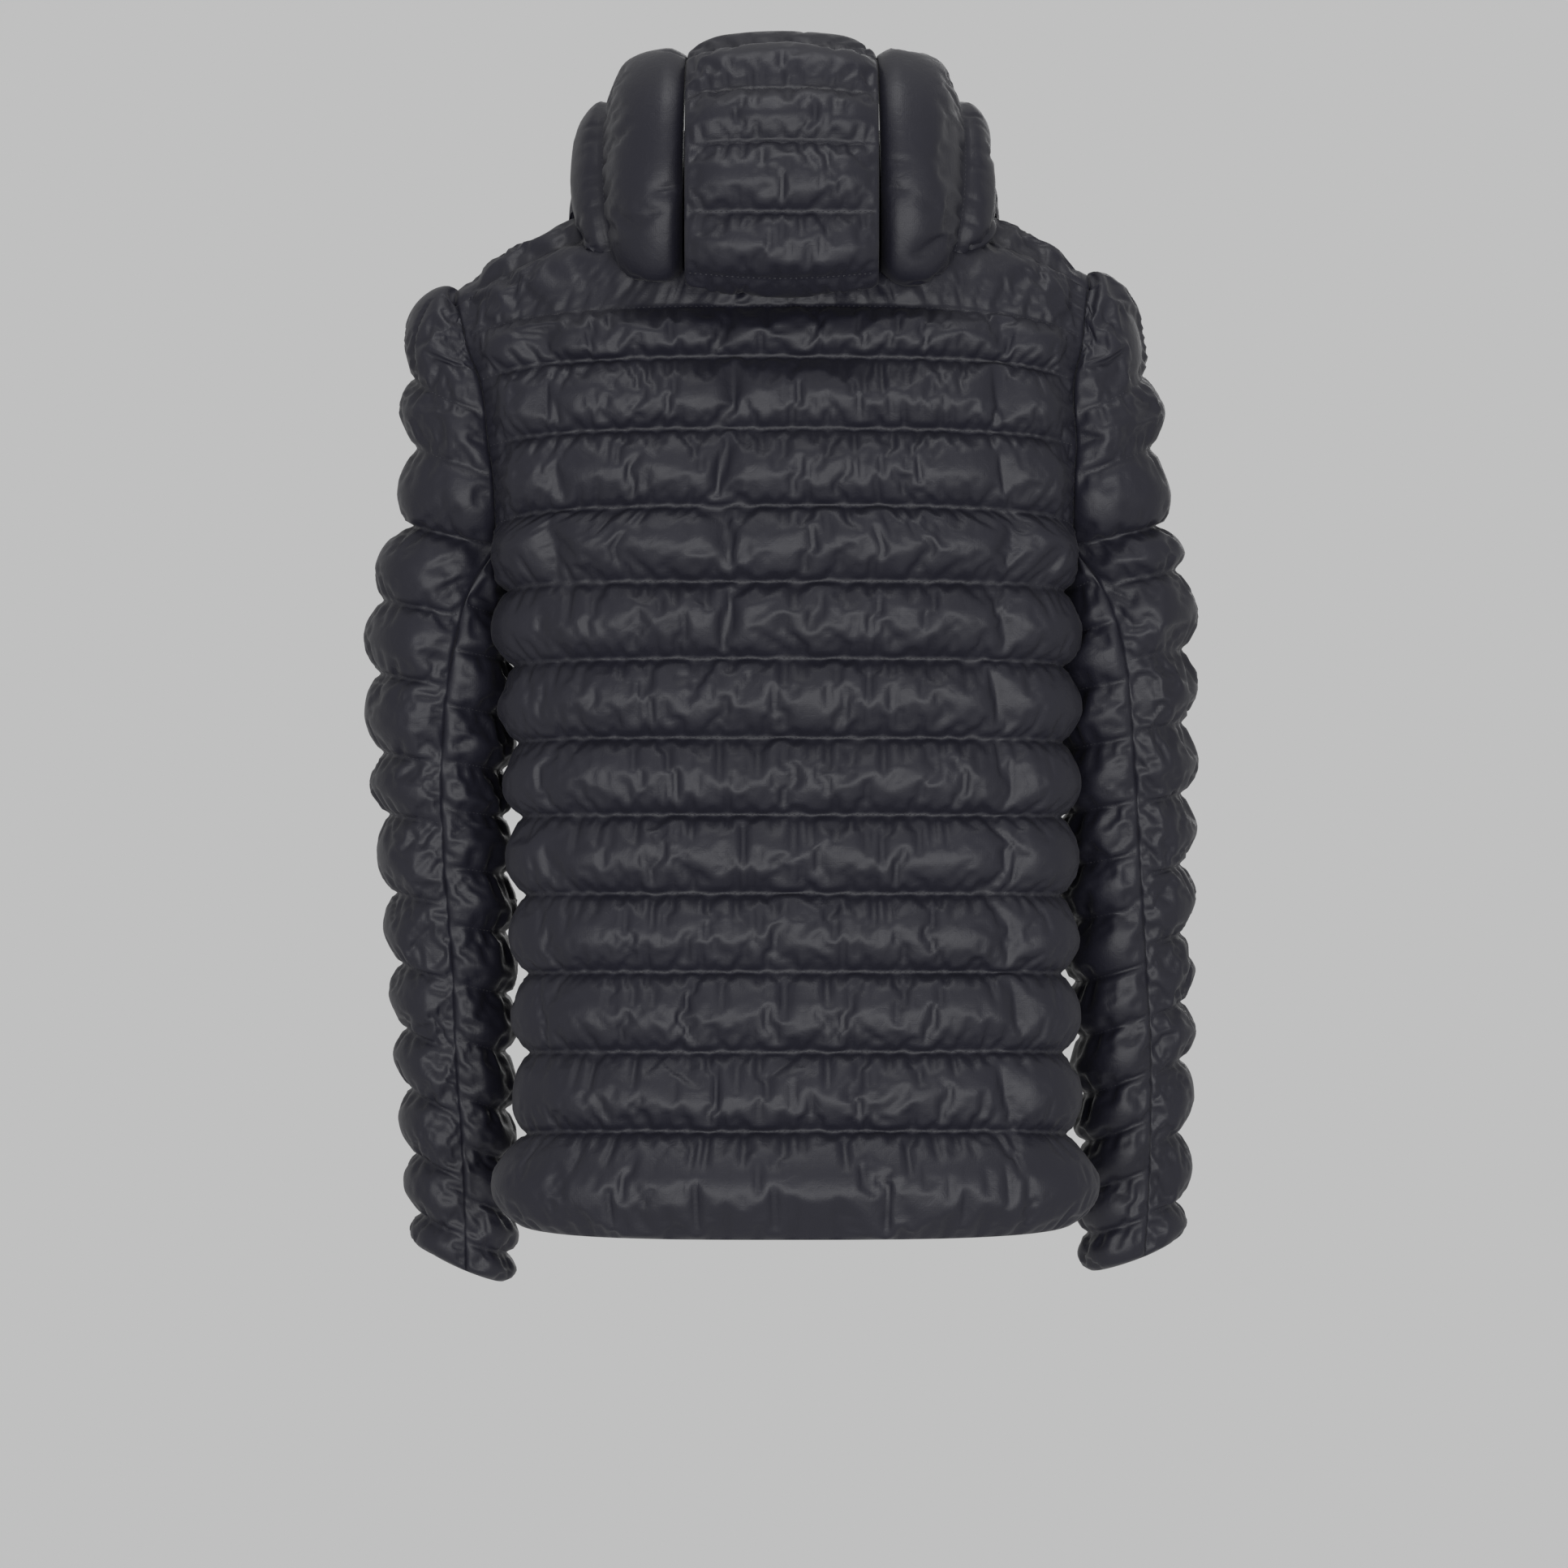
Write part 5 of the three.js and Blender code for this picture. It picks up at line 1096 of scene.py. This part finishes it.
@dataclass
class Filling:
    """The wadding: swells every sheet between its stitch lines with one short cloth simulation."""

    pressure: float = 4.0
    frames: int = 20
    most_move: float = 3.5
    steps_a_frame: int = 5
    mass: float = 0.3
    stretch_stiffness: float = 12
    shear_stiffness: float = 4
    bending_stiffness: float = 0.2
    full_pucker_rise: float = 3
    first_pucker: float = 4
    pucker_gap: tuple[float, float] = (9, 15)
    pucker_length: tuple[float, float] = (6, 16)
    pucker_width: tuple[float, float] = (2, 3.2)
    pucker_depth: tuple[float, float] = (0.5, 1.3)
    pucker_slant: float = 0.25
    pucker_start: float = 3

    def swell(self, sheets: list[Sheet]) -> dict[str, np.ndarray]:
        """Swell the sheets together.

        Args:
            sheets: The sheets to swell.

        Returns:
            The outer points of each sheet, by its name.
        """
        grids = {sheet.name: self._puckered(sheet) for sheet in sheets}
        cloths = {sheet.name: self._cloth(sheet, grids[sheet.name]) for sheet in sheets}
        scene = bpy.context.scene
        for frame in range(1, self.frames + 1):
            scene.frame_set(frame)
        depsgraph = bpy.context.evaluated_depsgraph_get()
        for sheet in sheets:
            cloth = cloths[sheet.name]
            moved = cloth.evaluated_get(depsgraph).data
            points = np.zeros(len(moved.vertices) * 3)
            moved.vertices.foreach_get("co", points)
            grid = grids[sheet.name]
            shift = points.reshape(grid.shape) / MM - grid
            reach = np.linalg.norm(shift, axis=-1, keepdims=True)
            shift = shift * np.minimum(1, self.most_move / np.maximum(reach, 1e-6))
            grids[sheet.name] = grid + shift
            LOG.info("%s swelled by up to %.1f mm", sheet.name, float(reach.max()))
            bpy.data.objects.remove(cloth)
        scene.frame_set(1)
        return grids

    def _cloth(self, sheet: Sheet, grid: np.ndarray) -> bpy.types.Object:
        """A cloth object of a sheet, held along its stitch lines and borders."""
        piece = mesh_object(f"cloth_{sheet.name}", grid.reshape(-1, 3), grid_faces(*grid.shape[:2]))
        held = np.zeros(grid.shape[:2])
        held[sheet.lines] = 1
        held[0] = held[-1] = 1
        held[:, 0] = held[:, -1] = 1
        group = piece.vertex_groups.new(name="held")
        group.add([int(index) for index in np.flatnonzero(held.ravel())], 1.0, "REPLACE")
        modifier = piece.modifiers.new("Cloth", "CLOTH")
        settings = modifier.settings
        settings.quality = self.steps_a_frame
        settings.mass = self.mass
        settings.tension_stiffness = self.stretch_stiffness
        settings.compression_stiffness = self.stretch_stiffness
        settings.shear_stiffness = self.shear_stiffness
        settings.bending_stiffness = self.bending_stiffness
        settings.vertex_group_mass = "held"
        settings.shrink_min = -sheet.shrink
        settings.use_pressure = True
        settings.uniform_pressure_force = self.pressure
        settings.effector_weights.gravity = 0
        modifier.point_cache.frame_start = 1
        modifier.point_cache.frame_end = self.frames
        return piece

    def _puckered(self, sheet: Sheet) -> np.ndarray:
        """The sheet's outer points with small puckers drawn in along each stitch line."""
        random = np.random.default_rng(sheet.seed)
        grid = sheet.grid
        rows, columns = grid.shape[:2]
        sink = np.zeros((rows, columns))
        for line in sheet.lines[1:-1]:
            steps = np.linalg.norm(np.diff(grid[line], axis=0), axis=1)
            run = np.concatenate([[0.0], np.cumsum(steps)])
            place = self.first_pucker
            while place < run[-1]:
                for way in (-1, 1):
                    self._draw_in(sink, grid, line, way, run - place, random)
                place += random.uniform(*self.pucker_gap)
        keep = np.clip(sheet.rise / self.full_pucker_rise, 0, 1)
        return grid - sheet.out * (sink * keep * sheet.pucker)[..., None]

    def _draw_in(
        self, sink: np.ndarray, grid: np.ndarray, line: int, way: int, offset: np.ndarray,
        random: np.random.Generator,
    ) -> None:
        """Add one pucker on one side of a stitch line."""
        length = random.uniform(*self.pucker_length)
        width = random.uniform(*self.pucker_width)
        depth = random.uniform(*self.pucker_depth)
        slant = random.normal(0, self.pucker_slant)
        row = line
        away = 0.0
        while 0 < row + way < grid.shape[0] - 1 and away < 2 * length:
            step = np.linalg.norm(grid[row + way] - grid[row], axis=-1).mean()
            away += float(step)
            row += way
            reach = math.exp(-((away / length) ** 2)) * min(1.0, away / self.pucker_start)
            sink[row] += depth * reach * np.exp(-(((offset - slant * away) / width) ** 2))


def mesh_object(name: str, points: np.ndarray, faces: list[tuple[int, ...]]) -> bpy.types.Object:
    """Make a mesh object from points in millimetres.

    Args:
        name: The object's name.
        points: Its points.
        faces: Its faces.

    Returns:
        The object, in the scene.
    """
    mesh = bpy.data.meshes.new(name)
    mesh.from_pydata((points * MM).tolist(), [], faces)
    mesh.update()
    piece = bpy.data.objects.new(name, mesh)
    bpy.context.scene.collection.objects.link(piece)
    return piece


def face_outwards(piece: bpy.types.Object) -> None:
    """Turn all faces of a closed piece outwards, with only that piece selected."""
    bpy.ops.object.select_all(action="DESELECT")
    piece.select_set(True)
    bpy.context.view_layer.objects.active = piece
    bpy.ops.object.mode_set(mode="EDIT")
    bpy.ops.mesh.select_all(action="SELECT")
    bpy.ops.mesh.normals_make_consistent(inside=False)
    bpy.ops.object.mode_set(mode="OBJECT")


def grid_faces(rows: int, columns: int, start: int = 0, turned: bool = False) -> list[tuple[int, ...]]:
    """Faces of a grid of points.

    Args:
        rows: Number of rows.
        columns: Number of columns.
        start: Index of the first point.
        turned: Whether they point the other way.

    Returns:
        The faces.
    """
    corner = (np.arange(rows - 1)[:, None] * columns + np.arange(columns - 1)[None] + start).ravel()
    faces = np.stack([corner, corner + 1, corner + columns + 1, corner + columns], axis=1)
    return [tuple(face) for face in (faces[:, ::-1] if turned else faces).tolist()]


def finer(grid: np.ndarray) -> np.ndarray:
    """Double a grid's resolution with a smooth curve through its points."""
    for axis in (0, 1):
        lines = np.moveaxis(grid, axis, 0)
        before = np.concatenate([2 * lines[:1] - lines[1:2], lines[:-2]])
        after = np.concatenate([lines[2:], 2 * lines[-1:] - lines[-2:-1]])
        halfway = (9 * (lines[:-1] + lines[1:]) - before - after) / 16
        doubled = np.zeros((2 * len(lines) - 1, *lines.shape[1:]))
        doubled[::2] = lines
        doubled[1::2] = halfway
        grid = np.moveaxis(doubled, 0, axis)
    return grid


class Wall:
    """A closed wall of a fine outer grid over a coarse inner one."""

    def __init__(self, outer: np.ndarray, inner: np.ndarray) -> None:
        """Join both faces along their borders.

        Args:
            outer: The outer grid.
            inner: The inner grid.
        """
        self.points = np.vstack([outer.reshape(-1, 3), inner.reshape(-1, 3)])
        start = outer.shape[0] * outer.shape[1]
        self.faces = grid_faces(*outer.shape[:2])
        self.faces += grid_faces(*inner.shape[:2], start=start, turned=True)
        fine = np.arange(start).reshape(outer.shape[:2])
        coarse = np.arange(inner.shape[0] * inner.shape[1]).reshape(inner.shape[:2]) + start
        for ours, theirs, turned in (
            (fine[0], coarse[0], True), (fine[-1], coarse[-1], False),
            (fine[:, 0], coarse[:, 0], False), (fine[:, -1], coarse[:, -1], True),
        ):
            self._bridge(ours, theirs, turned)

    def _bridge(self, fine: np.ndarray, coarse: np.ndarray, turned: bool) -> None:
        """Triangles between two borders that start and end together."""
        a = b = 0
        while a < len(fine) - 1 or b < len(coarse) - 1:
            next_a = (a + 1) / (len(fine) - 1)
            next_b = (b + 1) / (len(coarse) - 1)
            if b == len(coarse) - 1 or (a < len(fine) - 1 and next_a <= next_b):
                face = (int(fine[a]), int(fine[a + 1]), int(coarse[b]))
                a += 1
            else:
                face = (int(fine[a]), int(coarse[b + 1]), int(coarse[b]))
                b += 1
            self.faces.append(face[::-1] if turned else face)

    def piece(self, name: str) -> bpy.types.Object:
        """The wall as a smooth object whose faces point outwards."""
        wall = mesh_object(name, self.points, self.faces)
        face_outwards(wall)
        bpy.ops.object.shade_smooth()
        return wall


def linear(colour: str) -> tuple[float, float, float, float]:
    """An sRGB hex colour as linear light.

    Args:
        colour: Six hex digits after a hash.

    Returns:
        Red, green, blue and alpha.
    """
    parts = [int(colour[place : place + 2], 16) / 255 for place in (1, 3, 5)]
    light = [part / 12.92 if part <= 0.04045 else ((part + 0.055) / 1.055) ** 2.4 for part in parts]
    return (*light, 1.0)


def add_node(tree: bpy.types.NodeTree, kind: str, settings: dict | None = None,
             links: dict | None = None) -> bpy.types.Node:
    """Add a node with its settings and links.

    Args:
        tree: The material's node tree.
        kind: The node's type.
        settings: Socket values by socket name or index, and attributes by name.
        links: Sockets that feed this node, by the name or index of its own socket.

    Returns:
        The node.
    """
    node = tree.nodes.new(kind)
    for name, value in (settings or {}).items():
        if isinstance(name, int) or name in node.inputs:
            node.inputs[name].default_value = value
        else:
            setattr(node, name, value)
    for name, socket in (links or {}).items():
        tree.links.new(socket, node.inputs[name])
    return node


def blank_material(name: str) -> bpy.types.Material:
    """A material with an empty node tree."""
    material = bpy.data.materials.new(name)
    material.use_nodes = True
    material.node_tree.nodes.clear()
    return material


@dataclass(frozen=True)
class WovenCloth:
    """Filament yarns woven plain: a fine even grid with a soft sheen along the yarns."""

    name: str
    colour: str
    dark: str
    roughness: float
    sheen: float
    yarn_mm: float
    yarn_depth_mm: float
    crinkle_mm: float
    crinkle_depth_mm: float
    specular: float = 0.5

    def material(self) -> bpy.types.Material:
        """Make the cloth's material.

        Returns:
            The material.
        """
        made = blank_material(self.name)
        tree = made.node_tree
        place = add_node(tree, "ShaderNodeTexCoord").outputs["Object"]
        crinkle = add_node(tree, "ShaderNodeTexNoise", {
            "Scale": 1 / (self.crinkle_mm * MM), "Detail": 4.0, "Roughness": 0.6, "Distortion": 0.8,
        }, {"Vector": place})
        cloud = add_node(tree, "ShaderNodeTexNoise", {
            "Scale": 1 / (45 * MM), "Detail": 2.0,
        }, {"Vector": place})
        tone = add_node(tree, "ShaderNodeMix", {
            "data_type": "RGBA", 6: linear(self.dark), 7: linear(self.colour),
        }, {0: cloud.outputs["Fac"]})
        warp = add_node(tree, "ShaderNodeTexWave", {
            "bands_direction": "X", "Scale": 2 * math.pi / (20 * self.yarn_mm * MM), "Distortion": 0.4,
        }, {"Vector": place})
        weft = add_node(tree, "ShaderNodeTexWave", {
            "bands_direction": "Z", "Scale": 2 * math.pi / (20 * self.yarn_mm * MM), "Distortion": 0.4,
        }, {"Vector": place})
        weave = add_node(tree, "ShaderNodeMath", {"operation": "MULTIPLY"}, {
            0: warp.outputs["Fac"], 1: weft.outputs["Fac"],
        })
        yarns = add_node(tree, "ShaderNodeBump", {"Strength": 0.6, "Distance": self.yarn_depth_mm * MM}, {
            "Height": weave.outputs[0],
        })
        creased = add_node(tree, "ShaderNodeBump", {
            "Strength": 0.8, "Distance": self.crinkle_depth_mm * MM,
        }, {"Height": crinkle.outputs["Fac"], "Normal": yarns.outputs["Normal"]})
        gloss = add_node(tree, "ShaderNodeMapRange", {
            "To Min": self.roughness - 0.06, "To Max": self.roughness + 0.08,
        }, {"Value": crinkle.outputs["Fac"]})
        shader = add_node(tree, "ShaderNodeBsdfPrincipled", {
            "IOR": 1.5, "Specular IOR Level": self.specular,
            "Sheen Weight": self.sheen, "Sheen Roughness": 0.4,
        }, {
            "Base Color": tone.outputs[2], "Roughness": gloss.outputs["Result"],
            "Normal": creased.outputs["Normal"],
        })
        add_node(tree, "ShaderNodeOutputMaterial", None, {"Surface": shader.outputs[0]})
        return made


@dataclass(frozen=True)
class PaintedZinc:
    """Die-cast zinc under a thin satin lacquer: smooth, dark, with faint grain from the mould."""

    name: str
    colour: str
    roughness: float
    grain_mm: float

    def material(self) -> bpy.types.Material:
        """Make the metal's material.

        Returns:
            The material.
        """
        made = blank_material(self.name)
        tree = made.node_tree
        place = add_node(tree, "ShaderNodeTexCoord").outputs["Object"]
        grain = add_node(tree, "ShaderNodeTexNoise", {"Scale": 1 / (self.grain_mm * MM), "Detail": 3.0}, {
            "Vector": place,
        })
        gloss = add_node(tree, "ShaderNodeMapRange", {
            "To Min": self.roughness - 0.05, "To Max": self.roughness + 0.1,
        }, {"Value": grain.outputs["Fac"]})
        bump = add_node(tree, "ShaderNodeBump", {"Strength": 0.3, "Distance": 0.05 * MM}, {
            "Height": grain.outputs["Fac"],
        })
        shader = add_node(tree, "ShaderNodeBsdfPrincipled", {
            "Base Color": linear(self.colour), "Metallic": 0.7,
        }, {"Roughness": gloss.outputs["Result"], "Normal": bump.outputs["Normal"]})
        add_node(tree, "ShaderNodeOutputMaterial", None, {"Surface": shader.outputs[0]})
        return made


# Hot rollers press the woven nylon flat, which gives a satin gloss and small creases. Its real yarns
# are 0.1 mm apart, drawn 0.9 mm apart here so that they show.
SHELL = WovenCloth(
    name="nylon_taffeta_calendered", colour="#1a1a24", dark="#15151e", roughness=0.47, sheen=0.03,
    yarn_mm=0.9, yarn_depth_mm=0.05, crinkle_mm=9, crinkle_depth_mm=0.5, specular=0.36,
)
# The same cloth a little duller, its colour painted a little darker as the shade inside the hood's foot,
# where the stand sits.
SHADED_STAND = WovenCloth(
    name="nylon_taffeta_stand_painted_shade", colour="#18181f", dark="#14141a", roughness=0.5, sheen=0.03,
    yarn_mm=0.9, yarn_depth_mm=0.05, crinkle_mm=9, crinkle_depth_mm=0.4,
)
# Textured polyester yarns, woven close and matt.
TAPE = WovenCloth(
    name="polyester_zip_tape_woven", colour="#1d1d21", dark="#18181b", roughness=0.8, sheen=0.1,
    yarn_mm=0.8, yarn_depth_mm=0.12, crinkle_mm=20, crinkle_depth_mm=0.1, specular=0.3,
)
# Spun polyester, slightly fuzzy.
THREAD = WovenCloth(
    name="polyester_thread_spun", colour="#2c2c33", dark="#26262c", roughness=0.6, sheen=0.2,
    yarn_mm=0.5, yarn_depth_mm=0.05, crinkle_mm=4, crinkle_depth_mm=0.1, specular=0.4,
)
# Cast zinc under a dark satin lacquer, with a faint grain from the mould.
ZINC = PaintedZinc(name="zinc_die_cast_lacquered", colour="#26262b", roughness=0.34, grain_mm=1.2)


@dataclass
class Wardrobe:
    """Dresses the finished pieces: materials and bodies."""

    materials: dict[str, bpy.types.Material] = field(default_factory=dict)

    def material(self, finish: WovenCloth | PaintedZinc) -> bpy.types.Material:
        """A finish's material, made once."""
        if finish.name not in self.materials:
            self.materials[finish.name] = finish.material()
        return self.materials[finish.name]

    def dress(self, piece: bpy.types.Object, finish: WovenCloth | PaintedZinc) -> None:
        """Give a piece its finish."""
        piece.data.materials.clear()
        piece.data.materials.append(self.material(finish))

    def attach(self, piece: bpy.types.Object, body: str) -> None:
        """Let a piece move with a body."""
        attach(piece, body)
        LOG.info("%s: %d faces", piece.name, len(piece.data.polygons))


@dataclass
class Sewing:
    """The lockstitch that holds the rows: one raised stitch after another along each line."""

    pitch: float = 3.6
    length: float = 2.9
    half_width: float = 0.34
    lift: float = 0.12

    @staticmethod
    def _read(run: np.ndarray, values: np.ndarray, place: float) -> np.ndarray:
        """A row's value at a place along its run."""
        return np.array([np.interp(place, run, values[:, axis]) for axis in range(3)])

    def thread(self, name: str, grid: np.ndarray, out: np.ndarray, lines: list[int]) -> bpy.types.Object:
        """Stitches along some rows of a grid.

        Args:
            name: The piece's name.
            grid: A panel's outer points.
            out: Its outward directions.
            lines: The rows that are sewn.

        Returns:
            The stitches as one mesh.
        """
        points: list[np.ndarray] = []
        faces: list[tuple[int, ...]] = []
        ring = ((0, 1), (1, 2), (2, 3), (3, 0))
        for line in lines:
            row = grid[line]
            run = np.concatenate([[0.0], np.cumsum(np.linalg.norm(np.diff(row, axis=0), axis=1))])
            place = self.pitch
            while place < run[-1] - self.pitch:
                start = self._read(run, row, place - self.length / 2)
                end = self._read(run, row, place + self.length / 2)
                up = unit(self._read(run, out[line], place))
                along = unit(end - start)
                across = np.cross(along, up) * self.half_width
                middle = (start + end) / 2 + up * self.lift
                first = len(points)
                points.extend([middle + across, middle + up * self.half_width, middle - across,
                               middle - up * self.half_width, start - up * 0.2, end - up * 0.2])
                for left, right in ring:
                    faces.append((first + left, first + right, first + 5))
                    faces.append((first + right, first + left, first + 4))
                place += self.pitch
        return mesh_object(name, np.array(points), faces)


@dataclass
class Zip:
    """The moulded teeth between the two tapes."""

    pitch: float = 2.4
    reach: float = 2.1
    half_height: float = 0.8
    depth: float = 1.1

    def teeth(self, name: str, path: np.ndarray, side: Side) -> bpy.types.Object:
        """One tape's teeth.

        Args:
            name: The piece's name.
            path: The zip's middle line on the tapes' front.
            side: The tape's side.

        Returns:
            The teeth as one mesh.
        """
        run = np.concatenate([[0.0], np.cumsum(np.linalg.norm(np.diff(path, axis=0), axis=1))])
        shift = 0.25 if side is Side.LEFT else 0.75
        points: list[tuple[float, float, float]] = []
        faces: list[tuple[int, ...]] = []
        count = int(run[-1] / self.pitch) - 1
        for index in range(count):
            at = (index + shift) * self.pitch
            y, z = (float(np.interp(at, run, path[:, axis])) for axis in (1, 2))
            near, far = -side.value * 0.5, side.value * self.reach
            first = len(points)
            for x, slim in ((near, 0.55), (far, 1.0)):
                for across, up in ((0.02, -1), (self.depth, -0.8), (self.depth, 0.8), (0.02, 1)):
                    points.append((x, y + across, z + up * slim * self.half_height))
            faces.append((first, first + 1, first + 2, first + 3))
            faces.append((first + 7, first + 6, first + 5, first + 4))
            for corner in range(4):
                after = (corner + 1) % 4
                faces.append((first + corner, first + 4 + corner, first + 4 + after, first + after))
        teeth = mesh_object(name, np.array(points), faces)
        face_outwards(teeth)
        return teeth


@dataclass
class Studio:
    """Pale floor, even grey surroundings, soft lights and the camera behind the wearer."""

    camera_place: tuple[float, float, float] = (0, -3.4, -0.3657)
    camera_angle: float = 18.56
    floor_z: float = -1.45
    floor_size: float = 3.6
    backdrop: str = "#c0c0c0"
    boxes: tuple[dict, ...] = (
        dict(name="left_softbox", place=(-0.9, -3.2, -1.0), target=(0, 0, -0.35), size=1.4, power=44),
        dict(name="right_softbox", place=(1.1, -3.1, -0.8), target=(0, 0, -0.35), size=1.4, power=46),
        dict(name="top_softbox", place=(0, -0.9, 2.1), target=(0, 0, -0.2), size=1.1, power=22),
        dict(name="front_softbox", place=(0.6, 2.8, 0.6), target=(0, 0, -0.3), size=1.8, power=14),
    )

    def build(self) -> None:
        """Set the stage."""
        bpy.ops.object.select_all(action="DESELECT")
        bpy.ops.mesh.primitive_plane_add(size=self.floor_size, location=(0, 0, self.floor_z))
        floor = bpy.context.active_object
        floor.name = "studio_floor"
        paper = blank_material("matt_paper")
        shader = add_node(paper.node_tree, "ShaderNodeBsdfPrincipled", {
            "Base Color": linear("#d4d4d4"), "Roughness": 0.9,
        })
        add_node(paper.node_tree, "ShaderNodeOutputMaterial", None, {"Surface": shader.outputs[0]})
        floor.data.materials.append(paper)
        world = bpy.data.worlds.new("grey_surroundings")
        world.use_nodes = True
        world.node_tree.nodes["Background"].inputs["Color"].default_value = linear(self.backdrop)
        bpy.context.scene.world = world
        bpy.context.scene.view_settings.view_transform = "Standard"
        for box in self.boxes:
            self._light(**box)
        self._camera()

    def _light(
        self, name: str, place: tuple[float, float, float], target: tuple[float, float, float],
        size: float, power: float,
    ) -> None:
        """Add a soft square light that faces a point."""
        data = bpy.data.lights.new(name, "AREA")
        data.size = size
        data.energy = power
        light = bpy.data.objects.new(name, data)
        light.location = place
        light.rotation_euler = (Vector(target) - Vector(place)).to_track_quat("-Z", "Y").to_euler()
        bpy.context.scene.collection.objects.link(light)

    def _camera(self) -> None:
        """Add the camera at the photograph's angle."""
        data = bpy.data.cameras.new("camera")
        data.angle = math.radians(self.camera_angle)
        camera = bpy.data.objects.new("camera", data)
        camera.location = self.camera_place
        camera.rotation_euler = (math.pi / 2, 0, 0)
        bpy.context.scene.collection.objects.link(camera)
        bpy.context.scene.camera = camera


def zip_line(hood: Hood) -> np.ndarray:
    """The zip's middle line, up the centre front and the stand's front edge.

    Args:
        hood: The hood, whose stand the zip closes.

    Returns:
        Points from the hem to the top.
    """
    torso = hood.torso
    heights = spaced(torso.line_ends[0] + 7, torso.neck_front_z, 6)
    body = torso.by_angle(heights, np.full(len(heights), np.pi))
    body[:, 1] -= 1
    climb = spaced(0, 1, 0.1)[1:]
    inwards = hood.collar_inset + 1 + hood.collar_lean * climb
    stand = hood.beside_neck(Side.LEFT, 0 * climb, -inwards, hood.collar_front * climb)
    path = np.vstack([body, stand])
    path[:, 0] = 0
    path[:, 1] += 0.8
    return path


def dress_panels(sheets: list[Sheet], wardrobe: Wardrobe, sewing: Sewing) -> None:
    """Close every swelled sheet over its inner face, sew it and put it in its node's place.

    Args:
        sheets: The sheets.
        wardrobe: The finishes.
        sewing: The stitches.
    """
    swelled = Filling().swell(sheets)
    for sheet in sheets:
        outer = finer(swelled[sheet.name])
        piece = Wall(outer, sheet.inner(2)).piece(f"padded_{sheet.name}")
        # The stand takes the copy of the shell cloth whose colour is painted darker as shade.
        finish = SHADED_STAND if sheet.name == "collar" else SHELL
        wardrobe.dress(piece, finish)
        wardrobe.attach(piece, JACKET_BODY)
        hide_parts(sheet.name)
        sewn = [2 * line for line in sheet.lines[1:-1]]
        thread = sewing.thread(f"stitches_{sheet.name}", outer, finer(sheet.out), sewn)
        wardrobe.dress(thread, THREAD)
        wardrobe.attach(thread, JACKET_BODY)


def main() -> None:
    """Build and dress the jacket around its frame."""
    logging.basicConfig(level=logging.INFO, format="%(name)s: %(message)s")
    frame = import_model()
    torso = Torso()
    panels = BodyPanels(torso)
    hood = Hood(torso)
    sheets = [panels.back(), panels.front(Side.LEFT), panels.front(Side.RIGHT)]
    for side in Side:
        sleeve = Sleeve(torso, side)
        sheets += [sleeve.top(), sleeve.under()]
    sheets += [hood.centre(), hood.side(Side.LEFT), hood.side(Side.RIGHT), hood.collar()]
    wardrobe = Wardrobe()
    dress_panels(sheets, wardrobe, Sewing())
    for side in Side:
        teeth = Zip().teeth(f"zip_teeth_{side.word}", zip_line(hood), side)
        wardrobe.dress(teeth, ZINC)
        wardrobe.attach(teeth, JACKET_BODY)
        wardrobe.dress(frame["nodes"][f"zip_tape_{side.word}"], TAPE)
    for name in ("zip_slider", "zip_pull"):
        wardrobe.dress(frame["nodes"][name], ZINC)
    Studio().build()


if __name__ == "__main__":
    main()
